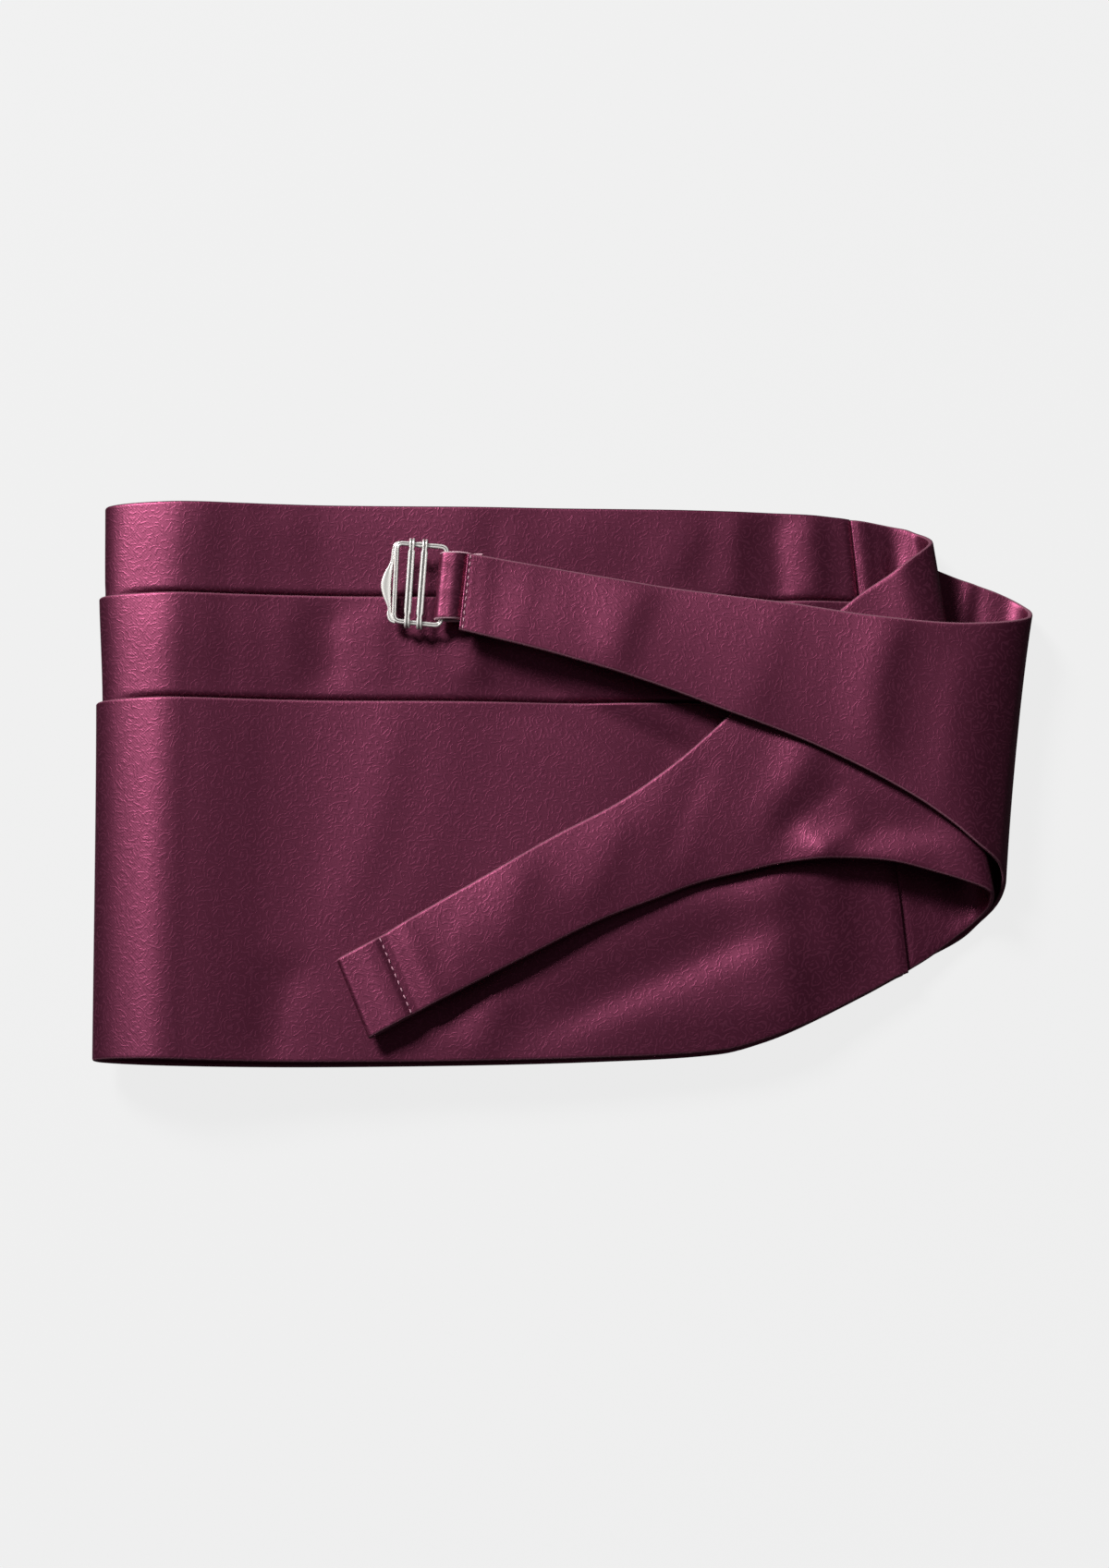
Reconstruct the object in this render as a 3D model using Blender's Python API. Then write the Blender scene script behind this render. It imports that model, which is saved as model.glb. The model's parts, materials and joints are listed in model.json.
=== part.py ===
"""A pleated satin cummerbund, folded in half at the left and laid flat, with both back straps rolled over at
the right and laid back across the front. Metres, +Z up, the front side up, resting on z = 0."""

import math

import bmesh
import bpy
from mathutils import Vector

MM = 0.001

# The middle of the whole part seen from above, which the origin lies under
CENTRE = (0.82, 0.58)

# Cloth, in millimetres
WALL = 1.2
GAP = 0.3
PLY = WALL + GAP
STRAP_WALL = 1.3
LOOP_WALL = 1.0

# Panel: the folded upper edges of its two lower tiers, and how far each tier runs on beneath the next
PLEAT_Y = (45.2, 19.4)
PLEAT_OVERLAP = 12.0
SETTLE = (4.0, 0.8)

# The seam to the back straps, at the panel's upper and lower edges
SEAM = (
    # y, x
    (-45.0, 80.6),
    (65.8, 69.4),
)
UPPER_EDGE = (
    # x, y
    (-120.0, 67.5),
    (-90.0, 68.0),
    (20.0, 67.7),
    (47.0, 67.4),
    (61.0, 66.8),
    (69.4, 66.1),
)
LOWER_EDGE = (
    # x, y
    (-120.0, -65.8),
    (-75.0, -66.8),
    (-32.0, -66.6),
    (8.0, -65.6),
    (37.0, -63.8),
    (48.0, -60.9),
    (57.0, -57.2),
    (71.8, -49.8),
    (80.6, -45.0),
)

# The panel's outer face over its upper half, seen from its lower edge
TOP_SECTION = (
    # x, height
    (-91.4, 14.0),
    (-85.0, 13.7),
    (-77.0, 12.4),
    (-70.0, 11.6),
    (-60.0, 10.8),
    (-42.0, 10.0),
    (-11.0, 9.0),
    (20.0, 7.3),
    (47.0, 5.9),
    (61.0, 5.0),
    (69.4, 4.5),
    (90.0, 4.4),
)
# The soft fold at the left is half a rounded ellipse, from the top section's first row to the panel beneath
FOLD_REACH = 19.0
FOLD_POWER = 2.1
# How far the fold gives way to the right towards the lower edge
FOLD_SHIFT = (
    # y, shift
    (-67.0, 3.0),
    (19.0, 1.9),
    (46.0, 0.5),
    (68.0, 0.0),
)
# Soft folds across the panel's upper half: where each meets its upper and lower edges, half width and height
SOFT_FOLDS = (
    # upper x, lower x, half width, height
    (-58.0, -74.0, 13.0, -0.2),
    (-22.0, -52.0, 12.0, 0.3),
    (-2.0, -30.0, 10.0, -0.3),
    (24.0, 2.0, 14.0, 0.3),
    (46.0, 28.0, 12.0, -0.3),
)

# Back straps: a section across the strap in each row, from the panel's seam, round the roll at the right and
# back over the front. Heights are those of the middle of the wall.
PLAIN_STRAP = (
    # upper x, upper y, lower x, lower y, upper height, lower height
    (69.9, 65.8, 81.1, -44.8, 3.8, 5.2),
    (75.4, 65.2, 87.2, -41.0, 3.5, 4.7),
    (81.0, 64.2, 93.3, -36.4, 3.3, 4.4),
    (85.3, 62.9, 98.1, -32.5, 4.0, 4.9),
    (87.9, 60.9, 100.3, -29.9, 6.8, 7.2),
    (88.5, 58.9, 100.6, -28.1, 10.0, 10.2),
    (87.3, 57.2, 99.4, -26.9, 12.0, 12.1),
    (84.3, 54.6, 95.8, -25.2, 13.1, 13.2),
    (78.6, 50.2, 88.2, -22.2, 13.4, 13.4),
    (70.8, 44.9, 77.5, -19.5, 13.2, 13.0),
    (60.2, 36.0, 64.5, -18.7, 12.8, 12.4),
    (49.5, 25.3, 52.6, -19.7, 12.4, 12.0),
    (38.7, 15.0, 41.7, -22.1, 12.1, 11.8),
    (27.2, 4.8, 31.9, -24.6, 12.1, 11.8),
    (13.4, -5.0, 22.0, -28.4, 12.4, 12.4),
    (-1.9, -13.3, 8.0, -34.0, 13.6, 13.6),
    (-17.0, -22.3, -8.5, -42.4, 14.9, 15.0),
    (-32.0, -31.0, -23.5, -50.2, 16.1, 16.3),
    (-42.9, -37.6, -35.0, -56.2, 16.9, 17.2),
    (-51.7, -42.4, -43.9, -61.1, 17.3, 17.6),
)
SLIDER_STRAP = (
    # upper x, upper y, lower x, lower y, upper height, lower height
    (69.9, 64.4, 80.9, -43.6, 0.65, 0.65),
    (79.0, 58.9, 88.4, -40.0, 0.65, 0.65),
    (91.5, 53.6, 95.2, -36.2, 0.65, 0.65),
    (101.8, 49.7, 99.6, -32.3, 0.9, 0.9),
    (108.4, 46.8, 102.6, -29.4, 1.9, 1.9),
    (112.0, 43.9, 104.3, -26.2, 4.6, 4.6),
    (112.4, 41.6, 104.5, -22.8, 8.4, 8.4),
    (110.9, 39.7, 102.7, -19.6, 12.2, 12.1),
    (105.7, 38.2, 97.7, -15.6, 15.0, 14.9),
    (95.6, 37.6, 91.6, -10.5, 15.9, 15.8),
    (85.8, 38.1, 83.3, -4.6, 15.9, 15.8),
    (72.7, 39.6, 70.0, 3.0, 15.5, 15.3),
    (55.3, 42.5, 56.0, 9.7, 14.9, 14.7),
    (37.7, 44.9, 40.5, 15.6, 14.2, 14.8),
    (20.1, 47.4, 21.5, 22.8, 14.0, 14.9),
    (-1.9, 51.2, -2.0, 30.0, 14.4, 15.2),
    (-22.6, 54.7, -24.6, 35.7, 15.4, 15.7),
)
# Soft puckers that run across each strap, most of them where it rolls over
PLAIN_PUCKERS = (
    # place along, half width, height at the upper edge, the middle and the lower edge
    (0.045, 0.020, 0.5, 0.1, 0.2),
    (0.085, 0.018, -0.5, -0.1, -0.4),
    (0.360, 0.040, 0.2, 0.4, 0.5),
    (0.520, 0.050, 0.4, 0.1, -0.2),
    (0.760, 0.040, 0.3, 0.2, 0.1),
)
SLIDER_PUCKERS = (
    # place along, half width, height at the upper edge, the middle and the lower edge
    (0.095, 0.018, -0.7, -0.3, -0.1),
    (0.155, 0.018, -0.6, -0.3, -0.1),
    (0.250, 0.050, 0.0, -1.4, 0.0),
    (0.430, 0.040, 0.3, 0.3, 0.3),
    (0.620, 0.050, 0.1, 0.2, 0.4),
    (0.800, 0.040, 0.3, 0.2, 0.1),
)
CROWN = 0.5
# A strap's mesh has one more step for each of these lengths between two sections, and two at least
STRAP_STEP = 5.0

# The plain strap's end turns under and runs back for this length
HEM_LENGTH = 11.5
HEM_RADIUS = (STRAP_WALL + GAP) / 2

# Slider: corners of its wire frame, in order round it, and the outer and inner edges of its crescent tab
SLIDER_HEIGHT = 14.6
WIRE = 1.6
BAR = 1.4
FRAME_CORNER = 1.6
FRAME_CORNERS = (
    # x, y
    (-39.5, 57.4),
    (-27.5, 56.3),
    (-29.1, 37.1),
    (-40.2, 38.3),
)
TAB_THICKNESS = 0.9
TAB_OUTER = (
    # x, y
    (-39.9, 57.2),
    (-40.9, 55.4),
    (-42.6, 51.6),
    (-43.4, 47.6),
    (-42.7, 44.0),
    (-41.7, 41.4),
    (-41.7, 39.6),
    (-40.6, 38.4),
)
TAB_INNER = (
    # x, y
    (-39.6, 56.6),
    (-40.9, 53.8),
    (-41.1, 51.0),
    (-41.2, 47.6),
    (-41.3, 44.0),
    (-41.2, 42.0),
    (-41.1, 40.6),
    (-40.3, 39.0),
)
# Where the two cross bars clasp the frame's upper and lower wires
CROSS_BARS = (
    # upper x, lower x
    (-35.9, -37.0),
    (-32.5, -33.7),
)

# The cloth loop round the slider's right wire, seen from its end: places from that wire's centre
LOOP_UPPER = (
    # x, height
    (4.1, 15.6),
    (3.2, 16.3),
    (1.9, 16.75),
)
LOOP_LOWER = (
    # x, height
    (2.6, 12.85),
    (5.4, 13.2),
    (8.6, 13.7),
)
LOOP_UPPER_Y = 55.0
LOOP_LOWER_Y = 38.4
LOOP_TURNS = 8

# Surfaces
SATIN = (0.102, 0.018, 0.045)
SATIN_ROUGHNESS = 0.38
SATIN_SHEEN = 0.25
METAL = (0.72, 0.69, 0.63)
METAL_ROUGHNESS = 0.22

# Mesh
TOP_STEPS = 24
FOLD_STEPS = 16
FLAT_STEPS = 10
TIER_ROWS = (4, 4, 11)
STRAP_ROWS = 6
WIRE_SIDES = 8


def smooth(t):
    """Eases from 0 to 1."""
    t = min(max(t, 0.0), 1.0)
    return t * t * (3.0 - 2.0 * t)


def mix(a, b, t):
    return a + (b - a) * t


def read(rows, x, column=1):
    """A table's column on a smooth curve through its rows. The first column falls or rises steadily."""
    sign = 1.0 if rows[-1][0] > rows[0][0] else -1.0
    last = len(rows) - 1
    i = 0
    while i < last - 1 and sign * x > sign * rows[i + 1][0]:
        i += 1
    a, b = rows[i], rows[i + 1]
    before, after = rows[max(i - 1, 0)], rows[min(i + 2, last)]
    span = b[0] - a[0]
    t = min(max((x - a[0]) / span, 0.0), 1.0)
    slope_a = (b[column] - before[column]) / (b[0] - before[0]) * span
    slope_b = (after[column] - a[column]) / (after[0] - a[0]) * span
    rise = b[column] - a[column]
    bend = 3 * rise - 2 * slope_a - slope_b
    twist = slope_a + slope_b - 2 * rise
    return a[column] + t * (slope_a + t * (bend + t * twist))


def seam_x(y):
    (low_y, low_x), (high_y, high_x) = SEAM
    return mix(low_x, high_x, (y - low_y) / (high_y - low_y))


def soft_fold_height(x, y):
    """The panel's soft folds, which die away at its left fold and its seam."""
    place = (UPPER_EDGE[0][1] - y) / (UPPER_EDGE[0][1] - LOWER_EDGE[0][1])
    total = 0.0
    for upper_x, lower_x, half_width, height in SOFT_FOLDS:
        offset = (x - mix(upper_x, lower_x, place)) / half_width
        total += height * math.exp(-offset * offset)
    return total * smooth((x + 100.0) / 30.0) * smooth((76.0 - x) / 24.0)


def panel_section(s, y):
    """A point on the panel's section at y: s is 0 to 1 over the top, to 2 round the fold and to 3 beneath."""
    fold_x, fold_height = TOP_SECTION[0]
    if s <= 1.0:
        x = mix(seam_x(y), fold_x, s)
        return x, read(TOP_SECTION, x) + soft_fold_height(x, y)
    if s >= 2.0:
        return mix(fold_x, seam_x(y), s - 2.0), PLY
    t = s - 1.0
    rise = math.cos(math.pi * t)
    x = fold_x - FOLD_REACH * math.sin(math.pi * t) ** (2.0 / FOLD_POWER)
    height = math.copysign(abs(rise) ** (2.0 / FOLD_POWER), rise) * (fold_height - PLY) / 2
    shift = read(FOLD_SHIFT, y) * smooth(2.5 * t) * smooth(2.5 - 2.5 * t)
    return x + shift, (fold_height + PLY) / 2 + height + soft_fold_height(x, y) * smooth(1.0 - 3.0 * t)


def panel_point(s, y, offset):
    """The same point moved out from the panel by offset."""
    step = 0.004
    ahead = panel_section(min(s + step, 3.0), y)
    behind = panel_section(max(s - step, 0.0), y)
    along_x, along_z = ahead[0] - behind[0], ahead[1] - behind[1]
    size = math.hypot(along_x, along_z)
    x, z = panel_section(s, y)
    return Vector((x + offset * along_z / size, y, z - offset * along_x / size))


def tier_edges(tier, x):
    """The y of a tier's upper and lower edges at x, hidden overlap included."""
    upper = read(UPPER_EDGE, x) if tier == 0 else PLEAT_Y[tier - 1]
    lower = read(LOWER_EDGE, x) if tier == 2 else PLEAT_Y[tier] - PLEAT_OVERLAP
    return upper, lower


def tier_rows(tier):
    """Each row's place down a tier, and how far it lies out beneath: its overlap lies one ply in."""
    count = TIER_ROWS[tier]
    if tier == 2:
        return [(i / count, 1.0) for i in range(count + 1)]
    upper = UPPER_EDGE[0][1] if tier == 0 else PLEAT_Y[tier - 1]
    depth = upper - PLEAT_Y[tier] + PLEAT_OVERLAP
    settled = [(upper - PLEAT_Y[tier] - rise) / depth for rise in SETTLE]
    rows = [(settled[0] * i / count, 1.0) for i in range(count + 1)]
    return rows + [(settled[1], 0.0), (mix(settled[1], 1.0, 0.5), 0.0), (1.0, 0.0)]


def tier_y(tier, s, place):
    """The y of a row at s, where the tier's edges and the seam each lean on the other."""
    y = 0.0
    for _ in range(4):
        upper, lower = tier_edges(tier, panel_section(s, y)[0])
        y = mix(upper - WALL / 2, lower + WALL / 2, place)
    return y


def tier_rings(tier):
    steps = [i / TOP_STEPS for i in range(TOP_STEPS)]
    steps += [1.0 + i / FOLD_STEPS for i in range(FOLD_STEPS)]
    steps += [2.0 + i / FLAT_STEPS for i in range(FLAT_STEPS + 1)]
    rings = []
    for s in steps:
        beneath = smooth((s - 1.45) / 0.4)
        outer, inner = [], []
        for place, out in tier_rows(tier):
            offset = mix(tier * PLY, out * PLY, beneath)
            y = tier_y(tier, s, place)
            outer.append(panel_point(s, y, offset))
            inner.append(panel_point(s, y, offset - WALL))
        rings.append(rounded_ring(outer, inner))
    return rings


def rounded_ring(outer, inner):
    """A closed ring round a strip of wall, with one more point at the middle of each rounded edge."""
    ring = list(outer)
    for end, before in ((-1, -2), (0, 1)):
        middle = (outer[end] + inner[end]) / 2
        out = (outer[end] - outer[before]).normalized() * ((outer[end] - inner[end]).length / 2)
        ring.append(middle + out)
        if end == -1:
            ring.extend(reversed(inner))
    return ring


def strap_table(rows):
    """A strap's sections with the length along the strap's middle, from 0 to 1, as their first column."""
    middles = [Vector((row[0] + row[2], row[1] + row[3], row[4] + row[5])) / 2 for row in rows]
    lengths = [0.0]
    for a, b in zip(middles, middles[1:]):
        lengths.append(lengths[-1] + (b - a).length)
    return [(length / lengths[-1], *row) for length, row in zip(lengths, rows)]


def strap_middle(table, s, v):
    """The middle of a strap's wall at s along it and v across it."""
    values = [read(table, s, column) for column in range(1, 7)]
    upper = Vector((values[0], values[1], values[4]))
    lower = Vector((values[2], values[3], values[5]))
    middle = upper.lerp(lower, v)
    middle.z = max(middle.z, STRAP_WALL / 2)
    return middle


def strap_relief(puckers, s, v):
    """How far the cloth stands out: a low crown on the stretch laid over the front, and the puckers."""
    relief = CROWN * 4 * v * (1 - v) * smooth((s - 0.38) / 0.1) * smooth((0.96 - s) / 0.1)
    for place, half_width, upper_height, middle_height, lower_height in puckers:
        offset = (s - place) / half_width
        height = mix(upper_height, lower_height, v)
        height += (middle_height - (upper_height + lower_height) / 2) * 4 * v * (1 - v)
        relief += height * math.exp(-offset * offset)
    return relief


def strap_point(strap, s, v):
    """The middle of the wall with its relief, and its outward normal there."""
    table, puckers = strap
    step = 0.002
    ahead = strap_middle(table, min(s + step, 1.0), v)
    behind = strap_middle(table, max(s - step, 0.0), v)
    across = strap_middle(table, s, 1.0) - strap_middle(table, s, 0.0)
    normal = (ahead - behind).cross(across).normalized()
    return strap_middle(table, s, v) + normal * strap_relief(puckers, s, v), normal


def strap_rows(table, s):
    """Where the rows of a strap lie across it, so that its rounded edges end at its outline."""
    width = (strap_middle(table, s, 1.0) - strap_middle(table, s, 0.0)).length
    inset = STRAP_WALL / 2 / width
    return [mix(inset, 1.0 - inset, row / STRAP_ROWS) for row in range(STRAP_ROWS + 1)]


def strap_steps(table):
    """Places along a strap, closer together where its sections are, as round the roll."""
    places = []
    for a, b in zip(table, table[1:]):
        span = (strap_middle(table, b[0], 0.5) - strap_middle(table, a[0], 0.5)).length
        count = max(2, math.ceil(span / STRAP_STEP))
        places += [mix(a[0], b[0], i / count) for i in range(count)]
    return places + [1.0]


def strap_rings(strap):
    rings = []
    for s in strap_steps(strap[0]):
        outer, inner = [], []
        for v in strap_rows(strap[0], s):
            point, normal = strap_point(strap, s, v)
            outer.append(point + normal * (STRAP_WALL / 2))
            inner.append(point - normal * (STRAP_WALL / 2))
        rings.append(rounded_ring(outer, inner))
    return rings


def hem_rings(strap):
    """The plain strap's end: a half turn down, and the hem's run back beneath."""
    table = strap[0]
    path = [(math.radians(angle), 0.0) for angle in (45.0, 90.0, 135.0, 180.0)]
    path += [(math.pi, HEM_LENGTH / 2), (math.pi, HEM_LENGTH)]
    rings = []
    for angle, run in path:
        outer, inner = [], []
        for v in strap_rows(table, 1.0):
            end, normal = strap_point(strap, 1.0, v)
            forward = (strap_middle(table, 1.0, v) - strap_middle(table, 0.98, v)).normalized()
            spoke = normal * math.cos(angle) + forward * math.sin(angle)
            point = end + (spoke - normal) * HEM_RADIUS - forward * run
            outer.append(point + spoke * (STRAP_WALL / 2))
            inner.append(point - spoke * (STRAP_WALL / 2))
        rings.append(rounded_ring(outer, inner))
    return rings


def loop_rings():
    """The slider's cloth loop, from its seam, round the right wire and back under the strap's end."""
    radius = (WIRE + LOOP_WALL) / 2 + GAP
    path = [(x, z) for x, z in LOOP_UPPER]
    for turn in range(LOOP_TURNS + 1):
        angle = math.radians(mix(80.0, 280.0, turn / LOOP_TURNS))
        path.append((radius * math.cos(angle), SLIDER_HEIGHT + radius * math.sin(angle)))
    path += LOOP_LOWER
    (upper_x, upper_y), (lower_x, lower_y) = FRAME_CORNERS[1], FRAME_CORNERS[2]
    rings = []
    for i, (x, z) in enumerate(path):
        before, after = path[max(i - 1, 0)], path[min(i + 1, len(path) - 1)]
        size = math.hypot(after[0] - before[0], after[1] - before[1])
        normal = Vector((after[1] - before[1], 0.0, before[0] - after[0])) / size
        outer, inner = [], []
        for place in (0.0, 0.5, 1.0):
            y = mix(LOOP_UPPER_Y - LOOP_WALL / 2, LOOP_LOWER_Y + LOOP_WALL / 2, place)
            wire_x = mix(lower_x, upper_x, (y - lower_y) / (upper_y - lower_y))
            point = Vector((wire_x + x, y, z))
            outer.append(point - normal * (LOOP_WALL / 2))
            inner.append(point + normal * (LOOP_WALL / 2))
        rings.append(rounded_ring(outer, inner))
    return rings


def frame_path():
    """The slider's wire frame: four straight wires and four round corners."""
    centre = Vector((SLIDER_HEIGHT,) * 3)
    points = []
    count = len(FRAME_CORNERS)
    for i in range(count):
        corner = Vector((*FRAME_CORNERS[i], centre.z))
        before = Vector((*FRAME_CORNERS[i - 1], centre.z))
        after = Vector((*FRAME_CORNERS[(i + 1) % count], centre.z))
        start = corner + (before - corner).normalized() * FRAME_CORNER
        end = corner + (after - corner).normalized() * FRAME_CORNER
        for turn in range(5):
            t = turn / 4
            points.append(start.lerp(corner, t).lerp(corner.lerp(end, t), t))
    return points


def bar_path(upper_x, lower_x):
    """A cross bar over the frame's upper and lower wires, each end turned down round its wire."""
    reach = (WIRE + BAR) / 2 + GAP
    points = []
    for x, first, second, sign in (
        (upper_x, FRAME_CORNERS[0], FRAME_CORNERS[1], 1.0),
        (lower_x, FRAME_CORNERS[3], FRAME_CORNERS[2], -1.0),
    ):
        y = mix(first[1], second[1], (x - first[0]) / (second[0] - first[0]))
        turns = []
        for degrees in (-50.0, -20.0, 10.0, 45.0, 90.0):
            out = sign * reach * math.cos(math.radians(degrees))
            up = reach * math.sin(math.radians(degrees))
            turns.append(Vector((x, y + out, SLIDER_HEIGHT + up)))
        points += turns if sign > 0 else reversed(turns)
    return points


def metres(point):
    return Vector((point[0] - CENTRE[0], point[1] - CENTRE[1], point[2])) * MM


def material(name, metallic):
    """Satin, or the slider's polished metal."""
    made = bpy.data.materials.new(name)
    made.use_nodes = True
    shader = made.node_tree.nodes["Principled BSDF"]
    shader.inputs["Base Color"].default_value = (*(METAL if metallic else SATIN), 1.0)
    shader.inputs["Roughness"].default_value = METAL_ROUGHNESS if metallic else SATIN_ROUGHNESS
    shader.inputs["Metallic"].default_value = 1.0 if metallic else 0.0
    shader.inputs["Sheen Weight"].default_value = 0.0 if metallic else SATIN_SHEEN
    return made


def add_mesh(name, verts, faces, surface):
    """A mesh object with its faces turned outwards and shaded smooth."""
    mesh = bpy.data.meshes.new(name)
    mesh.from_pydata([metres(point) for point in verts], [], faces)
    shape = bmesh.new()
    shape.from_mesh(mesh)
    bmesh.ops.recalc_face_normals(shape, faces=shape.faces)
    shape.to_mesh(mesh)
    shape.free()
    mesh.shade_smooth()
    mesh.materials.append(surface)
    made = bpy.data.objects.new(name, mesh)
    bpy.context.collection.objects.link(made)
    return made


def wall(name, rings, surface):
    """Cloth as a strip of wall: rings joined one to the next, with both ends closed."""
    size = len(rings[0])
    rows = size // 2 - 1
    verts = [point for ring in rings for point in ring]
    faces = []
    for i in range(len(rings) - 1):
        for j in range(size):
            a, b = i * size + j, i * size + (j + 1) % size
            faces.append((a, b, b + size, a + size))
    for base in (0, (len(rings) - 1) * size):
        for j in range(rows - 1):
            faces.append((base + j, base + j + 1, base + size - 3 - j, base + size - 2 - j))
        faces.append((base, base + size - 2, base + size - 1))
        faces.append((base + rows - 1, base + rows, base + rows + 1))
    return add_mesh(name, verts, faces, surface)


def tube(name, points, diameter, surface, closed):
    """A round wire along a path."""
    count = len(points)
    verts, faces = [], []
    for i, point in enumerate(points):
        before = points[i - 1] if closed or i else point
        after = points[(i + 1) % count] if closed or i < count - 1 else point
        forward = (after - before).normalized()
        side = forward.cross(Vector((0.0, 0.0, 1.0) if closed else (1.0, 0.0, 0.0))).normalized()
        up = side.cross(forward)
        for j in range(WIRE_SIDES):
            angle = math.tau * (j + 0.5) / WIRE_SIDES
            verts.append(point + (side * math.cos(angle) + up * math.sin(angle)) * (diameter / 2))
    for i in range(count if closed else count - 1):
        for j in range(WIRE_SIDES):
            a, b = i * WIRE_SIDES + j, i * WIRE_SIDES + (j + 1) % WIRE_SIDES
            c, d = (i + 1) % count * WIRE_SIDES + (j + 1) % WIRE_SIDES, (i + 1) % count * WIRE_SIDES + j
            faces.append((a, b, c, d))
    if not closed:
        faces.append(tuple(range(WIRE_SIDES)))
        faces.append(tuple((count - 1) * WIRE_SIDES + j for j in range(WIRE_SIDES)))
    return add_mesh(name, verts, faces, surface)


def slider_frame(surface):
    """The wire frame with its crescent tab joined on."""
    frame = tube("slider_frame", frame_path(), WIRE, surface, closed=True)
    outline = list(TAB_OUTER) + list(reversed(TAB_INNER))
    size = len(outline)
    verts = [(x, y, SLIDER_HEIGHT + side * TAB_THICKNESS / 2) for side in (-1, 1) for x, y in outline]
    faces = [(j, (j + 1) % size, size + (j + 1) % size, size + j) for j in range(size)]
    half = size // 2
    for base in (0, size):
        for j in range(half - 1):
            faces.append((base + j, base + j + 1, base + size - 2 - j, base + size - 1 - j))
    tab = add_mesh("slider_tab_shape", verts, faces, surface)
    tab.hide_render = True
    tab.display_type = "WIRE"
    join = frame.modifiers.new("Tab", "BOOLEAN")
    join.operation = "UNION"
    join.object = tab
    return frame


def build():
    for old in list(bpy.data.objects):
        bpy.data.objects.remove(old)
    for tier, name in enumerate(("tier_top", "tier_middle", "tier_lower")):
        wall(name, tier_rings(tier), material(name, metallic=False))
    plain = strap_table(PLAIN_STRAP), PLAIN_PUCKERS
    rings = strap_rings(plain) + hem_rings(plain)
    wall("back_strap_plain", rings, material("back_strap_plain", metallic=False))
    buckled = strap_table(SLIDER_STRAP), SLIDER_PUCKERS
    wall("back_strap_slider", strap_rings(buckled), material("back_strap_slider", metallic=False))
    wall("slider_loop", loop_rings(), material("slider_loop", metallic=False))
    slider_frame(material("slider_frame", metallic=True))
    for name, (upper_x, lower_x) in zip(("slider_bar_left", "slider_bar_right"), CROSS_BARS):
        tube(name, bar_path(upper_x, lower_x), BAR, material(name, metallic=True), closed=False)


build()
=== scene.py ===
"""Cloth, slider, stitching and stage for a pleated satin cummerbund, folded in half and laid flat with both
back straps rolled over its front. Laid out as a Blender add-on and run as a script."""

import json
import math

import bpy
import numpy as np
from bpy.props import FloatProperty, FloatVectorProperty, PointerProperty
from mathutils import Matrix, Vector

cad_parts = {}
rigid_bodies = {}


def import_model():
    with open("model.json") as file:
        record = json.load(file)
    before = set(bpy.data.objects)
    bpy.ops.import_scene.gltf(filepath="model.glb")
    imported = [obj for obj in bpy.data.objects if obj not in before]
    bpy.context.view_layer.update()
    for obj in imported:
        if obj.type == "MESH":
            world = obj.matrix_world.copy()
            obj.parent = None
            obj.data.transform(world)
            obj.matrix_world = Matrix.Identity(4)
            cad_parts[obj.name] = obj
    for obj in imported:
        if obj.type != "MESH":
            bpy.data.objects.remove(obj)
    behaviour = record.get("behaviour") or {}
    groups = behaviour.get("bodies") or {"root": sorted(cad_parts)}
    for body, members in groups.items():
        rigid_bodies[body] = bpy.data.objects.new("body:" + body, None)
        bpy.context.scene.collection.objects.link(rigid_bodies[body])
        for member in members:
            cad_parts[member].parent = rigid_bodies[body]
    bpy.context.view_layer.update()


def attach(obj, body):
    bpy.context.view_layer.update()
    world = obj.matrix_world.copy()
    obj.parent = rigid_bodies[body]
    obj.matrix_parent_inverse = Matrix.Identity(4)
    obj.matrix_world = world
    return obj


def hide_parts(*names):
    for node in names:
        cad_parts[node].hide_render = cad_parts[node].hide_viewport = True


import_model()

bl_info = {
    "name": "Pleated Cummerbund",
    "version": (1, 0, 0),
    "blender": (4, 5, 0),
    "location": "View3D > Sidebar > Cummerbund",
    "description": "Builds a folded satin cummerbund with its slider, and a plain stage for it",
    "category": "Object",
}

MM = 0.001
# All tables are in millimetres in the maker's own layout, whose point CENTRE lies over the model's origin
CENTRE = (0.82, 0.58)

# A tier's wall with its gap to the next, the walls of the straps and the loop, and the gap itself
PLY = 1.5
STRAP_WALL = 1.3
LOOP_WALL = 1.0
GAP = 0.3

# The panel: pleat edges, hidden overlap, the seam to the back straps, and its upper and lower edges
PLEAT_Y = (45.2, 19.4)
PLEAT_OVERLAP = 12.0
# Laid beneath, a tier steps in by one ply between these distances over its pleat's edge
SETTLE = (4.0, 0.8)
SEAM = (
    # y, x
    (-45.0, 80.98),
    (65.8, 69.78),
)
UPPER_EDGE = (
    # x, y
    (-120.0, 67.5),
    (-90.0, 68.0),
    (20.0, 67.7),
    (47.0, 67.4),
    (61.0, 66.8),
    (69.4, 66.1),
)
LOWER_EDGE = (
    # x, y
    (-120.0, -65.8),
    (-75.0, -66.8),
    (-32.0, -66.6),
    (8.0, -65.6),
    (37.0, -63.8),
    (48.0, -60.9),
    (57.0, -57.2),
    (71.8, -49.8),
    (80.6, -45.0),
)
TOP_SECTION = (
    # x, height of the outer face over the upper half
    (-91.4, 14.0),
    (-85.0, 13.7),
    (-77.0, 12.5),
    (-70.0, 11.4),
    (-60.0, 10.3),
    (-52.0, 9.8),
    (-42.0, 9.4),
    (-11.0, 8.5),
    (20.0, 7.1),
    (47.0, 5.9),
    (61.0, 5.0),
    (69.4, 4.2),
    (78.0, 3.4),
    (90.0, 3.0),
)
# Each tier sinks towards the pleat's edge that covers its end: how far, and over how much of its height
PLEAT_SINK = (0.5, 20.0)
# Right under that edge it dips further: how far, and the dip's half width
PLEAT_TUCK = (0.9, 0.9)
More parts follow.
